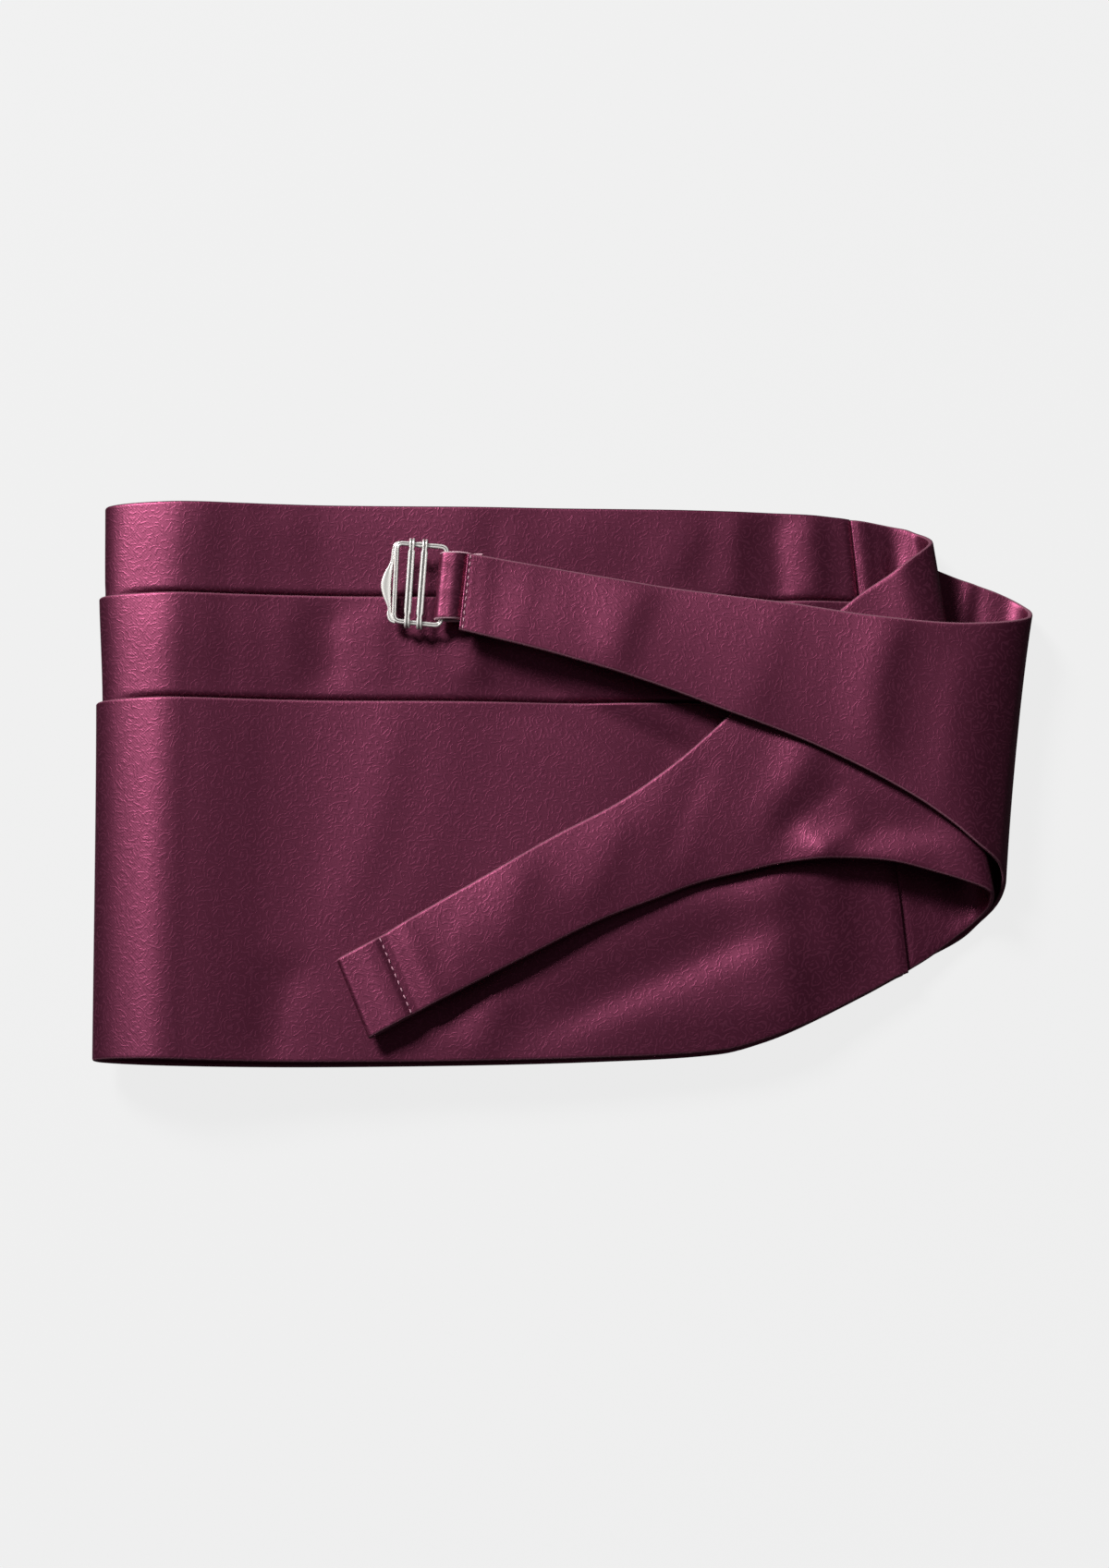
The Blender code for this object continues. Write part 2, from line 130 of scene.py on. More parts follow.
# The dip along the seam to the back straps: how far, and its half width
SEAM_TUCK = 0.4
SEAM_TUCK_WIDTH = 0.9
# How far inside a turned edge its nearest row of points lies, and the rows that shape the dip at the seam
EDGE_ROW = 0.3
SEAM_ROWS = (EDGE_ROW, 0.75, 1.9)
# The stretch across a pleat's edge that has closer rows, for its dip
TUCK_RUN = 2.4
# How far to each side of a place, as a share of the cloth's run, its direction is read
PANEL_NEAR = 0.004
STRAP_NEAR = 0.002
# Where relief shows over the front and beneath: from x, to x, and how soon it swells and dies away
TOP_RELIEF = (-100.0, 76.0, 30.0, 24.0)
UNDER_RELIEF = (-92.0, 74.0, 14.0, 14.0)
# How fast the relief and the bulge die away round the fold
RELIEF_FADE = 3.0
BULGE_FADE = 1.6
# About how far the panel runs from seam to fold, the steps round the fold, and how much longer those
# beneath are
PANEL_RUN = 165.0
FOLD_STEPS = 36
UNDER_STEP = 1.5
# The rows where a tier steps in beneath, and across a pleat's edge
SETTLE_ROWS = 6
TUCK_ROWS = 9
# The left fold: how far it reaches past the section's end, and how full its curve is, where 2 is an ellipse
FOLD_REACH = 19.0
FOLD_POWER = 2.1
FOLD_SHIFT = (
    # y, how far the fold lies to the right
    (-67.0, 3.0),
    (19.0, 1.9),
    (46.0, 0.5),
    (68.0, 0.0),
)
# The rolled bulge beside the left fold: where its crest runs and how high
BULGE_CREST = (
    # y, x, height
    (-67.0, -95.0, 1.0),
    (19.0, -94.5, 0.9),
    (46.0, -93.5, 0.65),
    (68.0, -91.5, 0.3),
)
BULGE_HALF_WIDTH = 6.5
# Where round the fold, from 1 to 2, the tiers change their order, and where their sinking ends: place, run
ORDER_TURN = (1.45, 0.4)
SINK_END = (1.35, 0.35)
# Broad soft folds across the panel, from its upper edge to its lower edge
SOFT_FOLDS = (
    # upper x, lower x, half width, height
    (-58.0, -74.0, 13.0, -0.14),
    (-22.0, -52.0, 12.0, 0.30),
    (-2.0, -30.0, 10.0, -0.25),
    (24.0, 2.0, 14.0, 0.30),
    (46.0, 28.0, 12.0, -0.30),
)
# Smaller creases: from x, y to x, y, half width, height, and how far the line bows
PANEL_CREASES = (
    (-82.0, 66.0, -80.0, 20.0, 6.0, -0.30, 1.0),
    (-66.5, 66.0, -61.0, 44.0, 6.0, 0.18, 0.5),
    (-66.0, 42.0, -65.0, 24.0, 5.0, 0.25, 0.5),
    (-55.5, 42.0, -55.0, 24.0, 4.6, -0.45, 0.5),
    (-44.0, 42.0, -43.0, 24.0, 4.0, 0.25, 0.5),
    (-22.0, 40.0, -21.0, 24.0, 4.0, 0.50, 0.0),
    (-40.1, 17.5, -54.3, -36.0, 5.5, 0.17, -3.0),
    (-33.0, 14.0, -43.0, -30.0, 6.0, -0.12, -2.0),
    (-16.0, 66.0, -18.0, 46.0, 4.0, -0.22, 0.0),
    (1.4, 65.0, -9.0, 24.0, 8.0, 0.22, 1.5),
    (-10.0, 16.0, -19.0, -26.0, 9.0, 0.14, 2.0),
    (19.0, 66.0, 11.0, 30.0, 6.5, -0.22, -1.0),
    (42.0, 66.0, 41.0, 46.0, 4.0, 0.50, 0.0),
    (50.8, 66.0, 52.5, 44.0, 4.0, -0.70, 0.0),
    (60.6, 66.0, 62.0, 46.0, 3.6, 1.0, 0.0),
    (61.5, -16.0, 66.0, -46.0, 7.0, 1.6, 0.0),
    (49.5, -20.0, 54.0, -60.0, 8.5, 1.80, 1.5),
    (32.0, -22.0, 35.0, -62.0, 15.0, 1.30, 0.0),
    (-12.0, 27.0, 34.0, 4.0, 5.6, -1.60, 0.0),
    (50.0, -33.5, -4.0, -57.5, 6.0, -0.90, 0.0),
    (-64.0, -44.0, -68.0, -66.0, 6.0, -0.45, 1.0),
    (-14.0, -50.0, -22.0, -65.0, 6.0, 0.60, 0.0),
    (33.0, 64.0, 27.0, 52.0, 4.0, 0.20, 0.0),
)
# The same on the hidden half beneath
UNDER_CREASES = (
    (-80.0, 60.0, -86.0, 12.0, 6.0, 0.45, 2.0),
    (-63.0, 64.0, -56.0, 22.0, 7.0, 0.35, -1.0),
    (-38.0, 20.0, -52.0, -40.0, 6.0, 0.55, 3.0),
    (-14.0, 60.0, -4.0, 26.0, 5.0, 0.35, 1.0),
    (-6.0, 12.0, -16.0, -50.0, 8.0, 0.45, -2.0),
    (22.0, 62.0, 30.0, 30.0, 6.0, 0.40, 2.0),
    (30.0, 8.0, 36.0, -52.0, 6.5, 0.50, -3.0),
    (52.0, 6.0, 60.0, -36.0, 4.5, 0.35, 1.0),
    (-70.0, -20.0, -78.0, -62.0, 7.0, 0.40, 1.5),
)

# Back straps: upper x, upper y, lower x, lower y, upper height, lower height
PLAIN_STRAP = (
    (69.9, 65.8, 81.1, -44.8, 4.2, 4.5),
    (75.4, 65.2, 87.2, -41.0, 3.4, 3.6),
    (81.0, 64.2, 93.3, -36.4, 2.8, 2.9),
    (85.3, 62.9, 98.4, -32.5, 3.0, 3.2),
    (87.9, 60.9, 101.0, -29.9, 6.4, 6.7),
    (88.5, 58.9, 101.4, -28.1, 10.0, 10.2),
    (87.3, 57.2, 101.0, -26.9, 12.0, 12.1),
    (84.3, 54.6, 97.6, -25.2, 13.1, 13.3),
    (78.6, 50.2, 88.2, -22.2, 13.4, 13.4),
    (70.8, 44.9, 77.5, -19.5, 13.2, 13.0),
    (60.2, 36.0, 64.5, -18.7, 12.8, 12.4),
    (49.5, 25.3, 52.6, -19.7, 12.4, 12.0),
    (38.7, 15.0, 41.7, -22.1, 12.0, 12.1),
    (27.2, 4.8, 31.9, -24.6, 12.0, 12.2),
    (13.4, -5.0, 22.0, -28.4, 12.4, 12.9),
    (-1.9, -13.3, 8.0, -34.0, 13.5, 14.1),
    (-17.0, -22.3, -8.5, -42.4, 14.8, 15.4),
    (-32.0, -31.0, -23.5, -50.2, 15.6, 16.3),
    (-42.9, -37.6, -35.0, -56.2, 16.1, 17.0),
    (-51.7, -42.4, -43.9, -61.1, 16.3, 17.2),
)
SLIDER_STRAP = (
    (69.9, 64.4, 80.9, -43.6, 0.65, 0.65),
    (79.0, 58.9, 88.4, -40.0, 0.65, 0.65),
    (91.5, 53.6, 95.2, -36.2, 0.65, 0.65),
    (101.8, 49.7, 99.6, -32.3, 0.75, 0.75),
    (108.4, 46.8, 102.6, -29.4, 1.3, 1.4),
    (112.0, 43.9, 104.3, -26.2, 4.1, 4.2),
    (112.4, 41.6, 104.5, -22.8, 8.4, 8.4),
    (110.9, 39.7, 102.7, -19.6, 12.2, 12.1),
    (105.7, 38.2, 97.7, -15.6, 15.0, 14.9),
    (95.6, 37.6, 91.6, -10.5, 15.9, 15.8),
    (85.8, 38.1, 83.3, -4.6, 15.9, 15.8),
    (72.7, 39.6, 70.0, 3.0, 15.5, 15.3),
    (55.3, 42.5, 56.0, 9.7, 14.8, 15.0),
    (37.7, 44.9, 40.5, 15.6, 14.1, 15.1),
    (20.1, 47.4, 21.5, 22.8, 13.9, 15.4),
    (-1.9, 51.2, -2.0, 30.0, 14.3, 15.8),
    (-22.6, 54.7, -24.6, 35.7, 15.4, 16.0),
)
# Puckers across each strap: place along, half width, heights at the upper edge, middle and lower edge
PLAIN_PUCKERS = (
    (0.045, 0.020, 0.5, 0.1, 0.2),
    (0.085, 0.018, -0.5, -0.1, -0.4),
    (0.185, 0.030, 0.9, 0.3, 0.0),
    (0.360, 0.040, 0.2, 0.4, 0.5),
    (0.520, 0.050, 0.4, 0.1, -0.2),
    (0.760, 0.040, 0.3, 0.2, 0.1),
)
SLIDER_PUCKERS = (
    (0.095, 0.018, -0.7, -0.3, -0.1),
    (0.155, 0.018, -0.6, -0.3, -0.1),
    (0.250, 0.050, 0.0, -1.4, 0.0),
    (0.430, 0.040, 0.3, 0.3, 0.3),
    (0.620, 0.050, 0.1, 0.2, 0.4),
    (0.800, 0.040, 0.3, 0.2, 0.1),
)
# Creases on each strap's stretch over the front, then in its hidden root, as on the panel
PLAIN_LAID_CREASES = (
    (90.0, -12.0, 54.0, -9.5, 5.0, -0.75, 0.0),
    (71.0, -9.0, 60.0, -18.0, 4.0, 0.60, 0.5),
    (66.0, -1.0, 52.0, -12.0, 3.2, -0.30, 0.5),
    (62.0, 10.0, 46.0, -15.0, 5.0, 0.45, 1.5),
    (58.0, -16.5, 84.0, -18.5, 4.0, 0.42, 0.0),
    (33.0, 3.0, 24.0, -20.0, 4.0, -0.25, 0.5),
    (14.0, -9.0, 4.0, -30.0, 5.0, 0.30, -1.0),
    (-8.0, -20.0, -14.0, -40.0, 5.0, 0.22, 1.0),
    (-26.0, -30.0, -30.0, -48.0, 4.0, -0.15, 0.0),
)
PLAIN_ROOT_CREASES = (
    (72.8, 64.0, 75.0, 28.0, 2.0, -0.30, 0.4),
    (81.3, 64.0, 83.0, 28.0, 2.8, 0.60, 0.5),
    (77.6, 64.0, 79.0, 40.0, 1.3, -0.22, 0.2),
    (85.2, 2.0, 90.0, -34.0, 2.6, -0.30, -0.8),
    (93.2, 6.0, 97.0, -28.0, 2.6, 0.60, 0.6),
    (77.5, 20.0, 79.5, -16.0, 2.2, 0.30, 0.6),
)
SLIDER_LAID_CREASES = (
    (20.0, 47.0, 12.0, 27.0, 5.0, 0.45, 1.0),
    (52.0, 42.0, 44.0, 16.0, 5.0, 0.16, -1.0),
    (80.0, 38.0, 74.0, 6.0, 5.0, 0.45, 2.0),
    (93.0, 36.0, 86.0, 2.0, 6.0, -0.30, 2.0),
    (-8.0, 52.0, -11.0, 33.0, 4.0, 0.16, 0.0),
)
SLIDER_ROOT_CREASES = (
    (88.0, 52.0, 90.0, 14.0, 3.0, -0.50, 1.0),
    (94.0, 50.0, 95.0, 20.0, 2.4, -0.45, -0.8),
    (99.5, 52.0, 97.0, 34.0, 1.7, -0.60, 0.3),
    (106.3, 49.0, 103.5, 34.0, 1.4, -0.60, 0.3),
    (83.0, 54.0, 86.0, -20.0, 3.0, -0.40, 1.6),
    (90.0, 6.0, 94.0, -28.0, 2.6, -0.45, -1.0),
)
# How far a strap's middle stands up between its edges, and along which stretch: from, to, and its two runs
CROWN = 0.5
CROWN_SPAN = (0.38, 0.96, 0.1, 0.1)
# The rows of points across a strap, and about how wide its laid end is
STRAP_ROWS = 60
STRAP_WIDTH = 22.0
# How much closer the rows along a strap lie round its roll, with the place and half width, and past a place
ROLL_CLOSER = (0.9, 0.22, 0.12)
END_CLOSER = (1.4, 0.93)
# The plain strap's hem: how far it runs back beneath, its rows of points there and round its turn, and that
# turn's radius
HEM_LENGTH = 11.5
HEM_ROWS = 13
HEM_TURN_ROWS = 15
HEM_RADIUS = (STRAP_WALL + GAP) / 2

# The slider: the height of its frame's middle, a bar's depth and the radius of the frame's corners
SLIDER_HEIGHT = 14.6
BAR_DEPTH = 0.95
FRAME_CORNER = 1.6
FRAME_CORNERS = (
    # x, y
    (-39.5, 57.4),
    (-27.5, 56.3),
    (-29.1, 37.1),
    (-40.2, 38.3),
)
# The angles of the rings that dome a bar's open ends
DOME_TURNS = (0.4, 0.75, 1.05, 1.35)
# A cross bar: its room round the frame's wire, the angle that its ends turn under to, their width against the
# bar's, the nick where each begins, as depth and half length, and how much wider it grows past that over
# which length
BAR_SLACK = 0.05
LUG_TURN = -52.0
LUG_WIDTH = 0.86
LUG_NICK = (0.16, 0.35)
LUG_TAPER = (0.16, 0.7)
# The crescent tab: its thickness, its rounded edge's radius, and how far its middle is dished
TAB_THICKNESS = 0.9
TAB_EDGE = 0.35
TAB_DISH = 0.12
TAB_OUTER = (
    # x, y
    (-38.9, 57.9),
    (-40.2, 57.3),
    (-40.75, 55.6),
    (-41.2, 52.6),
    (-42.6, 49.9),
    (-43.35, 47.2),
    (-42.9, 44.6),
    (-41.7, 41.5),
    (-41.85, 39.8),
    (-41.3, 38.2),
    (-39.9, 37.5),
)
TAB_INNER = (
    # x, y
    (-38.9, 57.1),
    (-39.7, 56.4),
    (-39.9, 55.0),
    (-40.3, 52.6),
    (-40.65, 49.9),
    (-40.85, 47.2),
    (-40.9, 44.6),
    (-40.85, 42.2),
    (-40.8, 40.4),
    (-40.4, 39.0),
    (-39.9, 38.4),
)
# The bead where the frame's wire is joined: x and y, its half length, and how much thicker it is
WELD_BEAD = (-34.0, 56.9)
BEAD_HALF_LENGTH = 0.45
BEAD_SWELL = 0.35
CROSS_BARS = (
    # upper x, lower x
    (-35.9, -37.0),
    (-32.8, -34.1),
)
# The loop's middle, as x past the frame's right wire: from its seam to the wire, and back beneath
LOOP_UPPER = (
    # x, height
    (5.6, 14.1),
    (4.4, 15.1),
    (3.2, 15.75),
    (2.1, 15.95),
)
LOOP_LOWER = (
    # x, height
    (2.6, 12.85),
    (5.4, 13.2),
    (8.6, 13.7),
)
LOOP_UPPER_Y = 55.0
LOOP_LOWER_Y = 38.4
# How loosely the loop lies round the wire, between which angles, how much finer its mesh is, and its puckers:
# depth, how close they follow each other, and how far from the seam they reach, then the second, even set
LOOP_SLACK = 0.1
LOOP_TURN = (math.radians(80.0), math.radians(280.0))
LOOP_FINER = 2.2
LOOP_COLUMNS = 30
SEAM_PUCKER = (0.05, 1.9, 3.0)
EVEN_PUCKER = (0.03, 0.9)

# The stage, in metres: the camera's aim and its field of view, and each light's place and size
CAMERA_AIM = (-0.00272, -0.00058, 0.008)
CAMERA_FIELD = math.radians(26.27)
SENSOR = 36.0
KEY_PLACE, KEY_SIZE = (-1.16, 1.38, 1.52), (0.65, 0.65)
SOFTBOX_PLACE, SOFTBOX_SIZE = (-0.05, 0.05, 1.1), (2.6, 2.6)
# How far out and how high each ring of the pale backdrop lies that rises round the floor, and a ring's steps
RING_STEPS = 96
BACKDROP_PROFILE = (
    # radius, height
    (3.2, -0.0003),
    (3.7, 0.06),
    (4.1, 0.24),
    (4.4, 0.55),
    (4.6, 1.0),
    (4.7, 1.7),
    (4.75, 3.4),
)

# How strongly each sheet's turned edges are lightened towards the edge colour: a painted highlight along them
EDGE_HIGHLIGHT = {
    "tier_top": 0.0,
    "tier_middle": 0.07,
    "tier_lower": 0.07,
    "back_strap_plain": 0.10,
    "back_strap_slider": 0.14,
    "slider_loop": 0.90,
}
# How much rougher the satin's ground is, and its edges with the painted highlight are, and how much smoother
# its figure is
GROUND_ROUGHER = 0.025
EDGE_ROUGHER = 3.0
FIGURE_SMOOTHER = 0.055
# How far a stitch's middle stands over the cloth, and where across a strap its row starts and ends
STITCH_RISE = 0.06
STITCH_SPAN = (0.05, 0.95)
# The share of a bar's groove that the frame's wire has
WIRE_GROOVE_SHARE = 0.4


def ease(t):
    """Eases from 0 to 1."""
    t = np.clip(t, 0.0, 1.0)
    return t * t * (3.0 - 2.0 * t)


def mix(a, b, t):
    return a + (b - a) * t


def faded(x, start, end, run_in, run_out):
    """1 between start and end, but eased in from 0 over run_in and out again over run_out."""
    return ease((x - start) / run_in) * ease((end - x) / run_out)


def curve(rows, x, column=1):
    """A table's column on a smooth curve through its rows, at each x."""
    table = np.asarray(rows, float)
    keys, values = table[:, 0], table[:, column]
    order = np.arange(len(keys))
    ahead, behind = np.minimum(order + 1, order[-1]), np.maximum(order - 1, 0)
    slopes = (values[ahead] - values[behind]) / (keys[ahead] - keys[behind])
    i = np.clip(np.searchsorted(keys, x) - 1, 0, len(keys) - 2)
    span = keys[i + 1] - keys[i]
    t = np.clip((x - keys[i]) / span, 0.0, 1.0)
    rise = values[i + 1] - values[i]
    a, b = slopes[i] * span, slopes[i + 1] * span
    return values[i] + t * (a + t * (3 * rise - 2 * a - b + t * (a + b - 2 * rise)))


def creases(rows, x, y):
    """Soft ridges and troughs that swell and die away along their lines, each steeper on one side."""
    total = np.zeros(np.broadcast(x, y).shape)
    for x1, y1, x2, y2, half_width, height, bow in rows:
        run_x, run_y = x2 - x1, y2 - y1
        length = math.hypot(run_x, run_y)
        along = ((x - x1) * run_x + (y - y1) * run_y) / length**2
        off = ((x - x1) * run_y - (y - y1) * run_x) / length
        off = off - bow * 4 * along * (1 - along)
        reach = half_width * np.where(off > 0, 1.25, 0.85)
        swell = faded(along, -0.22, 1.22, 0.45, 0.45)
        total += height * np.exp(-((off / reach) ** 2)) * swell
    return total


def seam_x(y):
    (low_y, low_x), (high_y, high_x) = SEAM
    return mix(low_x, high_x, (y - low_y) / (high_y - low_y))


def panel_section(s, y, depth):
    """The panel's section at y: s is 0 to 1 over the top, to 2 round the fold and to 3 beneath."""
    fold_x, fold_height = TOP_SECTION[0]
    place = (UPPER_EDGE[0][1] - y) / (UPPER_EDGE[0][1] - LOWER_EDGE[0][1])
    seam = seam_x(y)

    def relief(x):
        total = depth * creases(PANEL_CREASES, x, y)
        for upper_x, lower_x, half_width, height in SOFT_FOLDS:
            offset = (x - mix(upper_x, lower_x, place)) / half_width
            total = total + height * np.exp(-offset * offset)
        total = total * faded(x, *TOP_RELIEF)
        return total - SEAM_TUCK * np.exp(-(((seam - x) / SEAM_TUCK_WIDTH) ** 2))

    def bulge(x):
        offset = (x - curve(BULGE_CREST, y)) / BULGE_HALF_WIDTH
        return curve(BULGE_CREST, y, 2) * np.exp(-offset * offset)

    top_x = mix(seam, fold_x, np.clip(s, 0.0, 1.0))
    top_z = curve(TOP_SECTION, top_x) + relief(top_x) + bulge(top_x)
    t = np.clip(s - 1.0, 0.0, 1.0)
    rise = np.cos(np.pi * t)
    round_x = fold_x - FOLD_REACH * np.abs(np.sin(np.pi * t)) ** (2.0 / FOLD_POWER)
    round_z = np.copysign(np.abs(rise) ** (2.0 / FOLD_POWER), rise) * (fold_height - PLY) / 2
    shift = curve(FOLD_SHIFT, y) * faded(t, 0.0, 1.0, 0.4, 0.4)
    round_z = (fold_height + PLY) / 2 + round_z
    round_z = round_z + relief(np.full_like(round_x, fold_x)) * ease(1.0 - RELIEF_FADE * t)
    round_z = round_z + bulge(round_x + shift) * ease(1.0 - BULGE_FADE * t)
    flat_x = mix(fold_x, seam, np.clip(s - 2.0, 0.0, 1.0))
    flat_z = PLY + depth * creases(UNDER_CREASES, flat_x, y) * faded(flat_x, *UNDER_RELIEF)
    x = np.where(s <= 1.0, top_x, np.where(s >= 2.0, flat_x, round_x + shift))
    z = np.where(s <= 1.0, top_z, np.where(s >= 2.0, flat_z, round_z))
    return x, z


def panel_points(s, y, offset, depth):
    """Points moved out from the panel's section by offset."""
    ahead_x, ahead_z = panel_section(np.minimum(s + PANEL_NEAR, 3.0), y, depth)
    behind_x, behind_z = panel_section(np.maximum(s - PANEL_NEAR, 0.0), y, depth)
    along_x, along_z = ahead_x - behind_x, ahead_z - behind_z
    size = np.hypot(along_x, along_z)
    x, z = panel_section(s, y, depth)
    return np.stack([x + offset * along_z / size, y, z - offset * along_x / size], axis=-1)


def edged(places, inset):
    """Adds a place just inside each end, which keeps the highlights on turned edges narrow."""
    return np.concatenate([places[:1], [inset], places[1:-1], [1.0 - inset], places[-1:]])


def tier_rows(tier, step):
    """Each row's place down a tier, 0 to 1, and how far it lies out beneath: its overlap lies one ply in."""
    upper = UPPER_EDGE[0][1] if tier == 0 else PLEAT_Y[tier - 1]
    if tier == 2:
        depth = upper - LOWER_EDGE[0][1]
        return edged(np.linspace(0.0, 1.0, round(depth / step)), EDGE_ROW / depth), 1.0
    depth = upper - PLEAT_Y[tier] + PLEAT_OVERLAP
    start, end = [(upper - PLEAT_Y[tier] - rise) / depth for rise in SETTLE]
    places = np.concatenate([
        np.linspace(0.0, start, round(start * depth / step), endpoint=False),
        np.linspace(start, end, SETTLE_ROWS, endpoint=False),
        np.linspace(end, end + TUCK_RUN / depth, TUCK_ROWS, endpoint=False),
        np.linspace(end + TUCK_RUN / depth, 1.0, round((1.0 - end) * depth / step)),
    ])
    places = edged(places, EDGE_ROW / depth)
    return places, 1.0 - ease((places - start) / (end - start))


def tier_faces(tier, wall, step, depth):
    """The outer and inner faces of a tier as grids of points."""
    top = np.linspace(0.0, 1.0, round(PANEL_RUN / step), endpoint=False)
    top = np.insert(top, [1, 1, 2], np.array(SEAM_ROWS) / PANEL_RUN)
    fold = np.linspace(1.0, 2.0, FOLD_STEPS, endpoint=False)
    flat = np.linspace(2.0, 3.0, round(PANEL_RUN / step / UNDER_STEP))
    s = np.concatenate([top, fold, flat])[:, None]
    places, out = tier_rows(tier, step)
    places = np.broadcast_to(places, (len(s), len(places)))
    y = np.zeros(places.shape)
    for _ in range(4):
        x = panel_section(s, y, depth)[0]
        upper = curve(UPPER_EDGE, x) if tier == 0 else PLEAT_Y[tier - 1]
        lower = curve(LOWER_EDGE, x) if tier == 2 else PLEAT_Y[tier] - PLEAT_OVERLAP
        y = mix(upper - wall / 2, lower + wall / 2, places)
    place, run = ORDER_TURN
    beneath = ease((s - place) / run)
    laid = tier * PLY
    if tier < 2:
        (sink, over), (tuck, half_width) = PLEAT_SINK, PLEAT_TUCK
        above = y - PLEAT_Y[tier]
        dip = sink * ease(1.0 - above / over) + tuck * np.exp(-((above / half_width) ** 2))
        end, run = SINK_END
        laid = laid - dip * ease((end - s) / run)
    offset = mix(laid, out * PLY, beneath)
    return panel_points(s, y, offset, depth), panel_points(s, y, offset - wall, depth)


def strap_table(rows):
    """A strap's sections with the length along the strap's middle, from 0 to 1, as their first column."""
    rows = np.array(rows)
    upper, lower = rows[:, [0, 1, 4]], rows[:, [2, 3, 5]]
    middles = (upper + lower) / 2
    lengths = np.concatenate([[0.0], np.cumsum(np.linalg.norm(np.diff(middles, axis=0), axis=1))])
    return np.column_stack([lengths / lengths[-1], rows]), lengths[-1]


def strap_middle(table, s, v):
    """The middle of a strap's wall at s along it and v across it."""
    upper = np.stack([curve(table, s, column) for column in (1, 2, 5)], axis=-1)
    lower = np.stack([curve(table, s, column) for column in (3, 4, 6)], axis=-1)
    middle = upper + (lower - upper) * v[..., None]
    middle[..., 2] = np.maximum(middle[..., 2], STRAP_WALL / 2)
    return middle


def strap_points(strap, s, v, depth):
    """The middle of a strap's wall with its relief, and the outward normals there."""
    table = strap["table"]
    s, v = np.broadcast_arrays(s, v)
    middle = strap_middle(table, s, v)
    ahead = strap_middle(table, np.minimum(s + STRAP_NEAR, 1.0), v)
    behind = strap_middle(table, np.maximum(s - STRAP_NEAR, 0.0), v)
    across = strap_middle(table, s, np.ones_like(v)) - strap_middle(table, s, np.zeros_like(v))
    normal = np.cross(ahead - behind, across)
    normal /= np.linalg.norm(normal, axis=-1, keepdims=True)
    relief = CROWN * 4 * v * (1 - v) * faded(s, *CROWN_SPAN)
    for place, half_width, upper_height, middle_height, lower_height in strap["puckers"]:
        height = mix(upper_height, lower_height, v)
        height = height + (middle_height - (upper_height + lower_height) / 2) * 4 * v * (1 - v)
        relief = relief + height * np.exp(-(((s - place) / half_width) ** 2))
    x, y = middle[..., 0], middle[..., 1]
    laid = faded(s, strap["turn"], 0.99, 0.05, 0.05)
    root = faded(s, 0.0, strap["turn"], 0.03, 0.03)
    relief = relief + depth * creases(strap["laid"], x, y) * laid
    relief = relief + depth * creases(strap["root"], x, y) * root
    for place, height, half_width in strap["grooves"]:
        off = (s - place) * strap["length"]
        relief = relief + height * np.exp(-((off / half_width) ** 2))
    points = middle + normal * relief[..., None]
    points[..., 2] = np.maximum(points[..., 2], STRAP_WALL / 2)
    return points, normal


def strap_faces(strap, wall, step, depth):
    """The outer and inner faces of a strap as grids of points, with its hem where it has one.

    Its rows lie closer round the roll and near the end."""
    table, length = strap["table"], strap["length"]
    places = np.linspace(0.0, 1.0, 400)
    (at_roll, roll, half_width), (at_end, end) = ROLL_CLOSER, END_CLOSER
    density = 1.0 + at_roll * np.exp(-(((places - roll) / half_width) ** 2)) + at_end * (places > end)
    total = np.concatenate([[0.0], np.cumsum(density[:-1])])
    count = round(length / step * total[-1] / len(places))
    s = edged(np.interp(np.linspace(0.0, total[-1], count), total, places), EDGE_ROW / length)[:, None]
    width = np.linalg.norm(
        strap_middle(table, s, np.ones_like(s)) - strap_middle(table, s, np.zeros_like(s)), axis=-1
    )
    inset = wall / 2 / width
    rows = edged(np.linspace(0.0, 1.0, STRAP_ROWS), EDGE_ROW / STRAP_WIDTH)
    v = mix(inset, 1.0 - inset, rows)
    middle, normal = strap_points(strap, s, v, depth)
    outer, inner = middle + normal * (wall / 2), middle - normal * (wall / 2)
    if strap["hem"]:
        ends = np.ones_like(v[-1])
        end, normal = strap_points(strap, ends, v[-1], depth)
        forward = strap_middle(table, ends, v[-1]) - strap_middle(table, ends * 0.98, v[-1])
        forward /= np.linalg.norm(forward, axis=-1, keepdims=True)
        turns = [(angle, 0.0) for angle in np.linspace(0.0, np.pi, HEM_TURN_ROWS)[1:]]
        turns += [(np.pi, run) for run in np.linspace(0.0, HEM_LENGTH, HEM_ROWS)[1:]]
        for angle, run in turns:
            spoke = normal * math.cos(angle) + forward * math.sin(angle)
            point = end + (spoke - normal) * HEM_RADIUS - forward * run
            outer = np.concatenate([outer, [point + spoke * (wall / 2)]])
            inner = np.concatenate([inner, [point - spoke * (wall / 2)]])
    return outer, inner


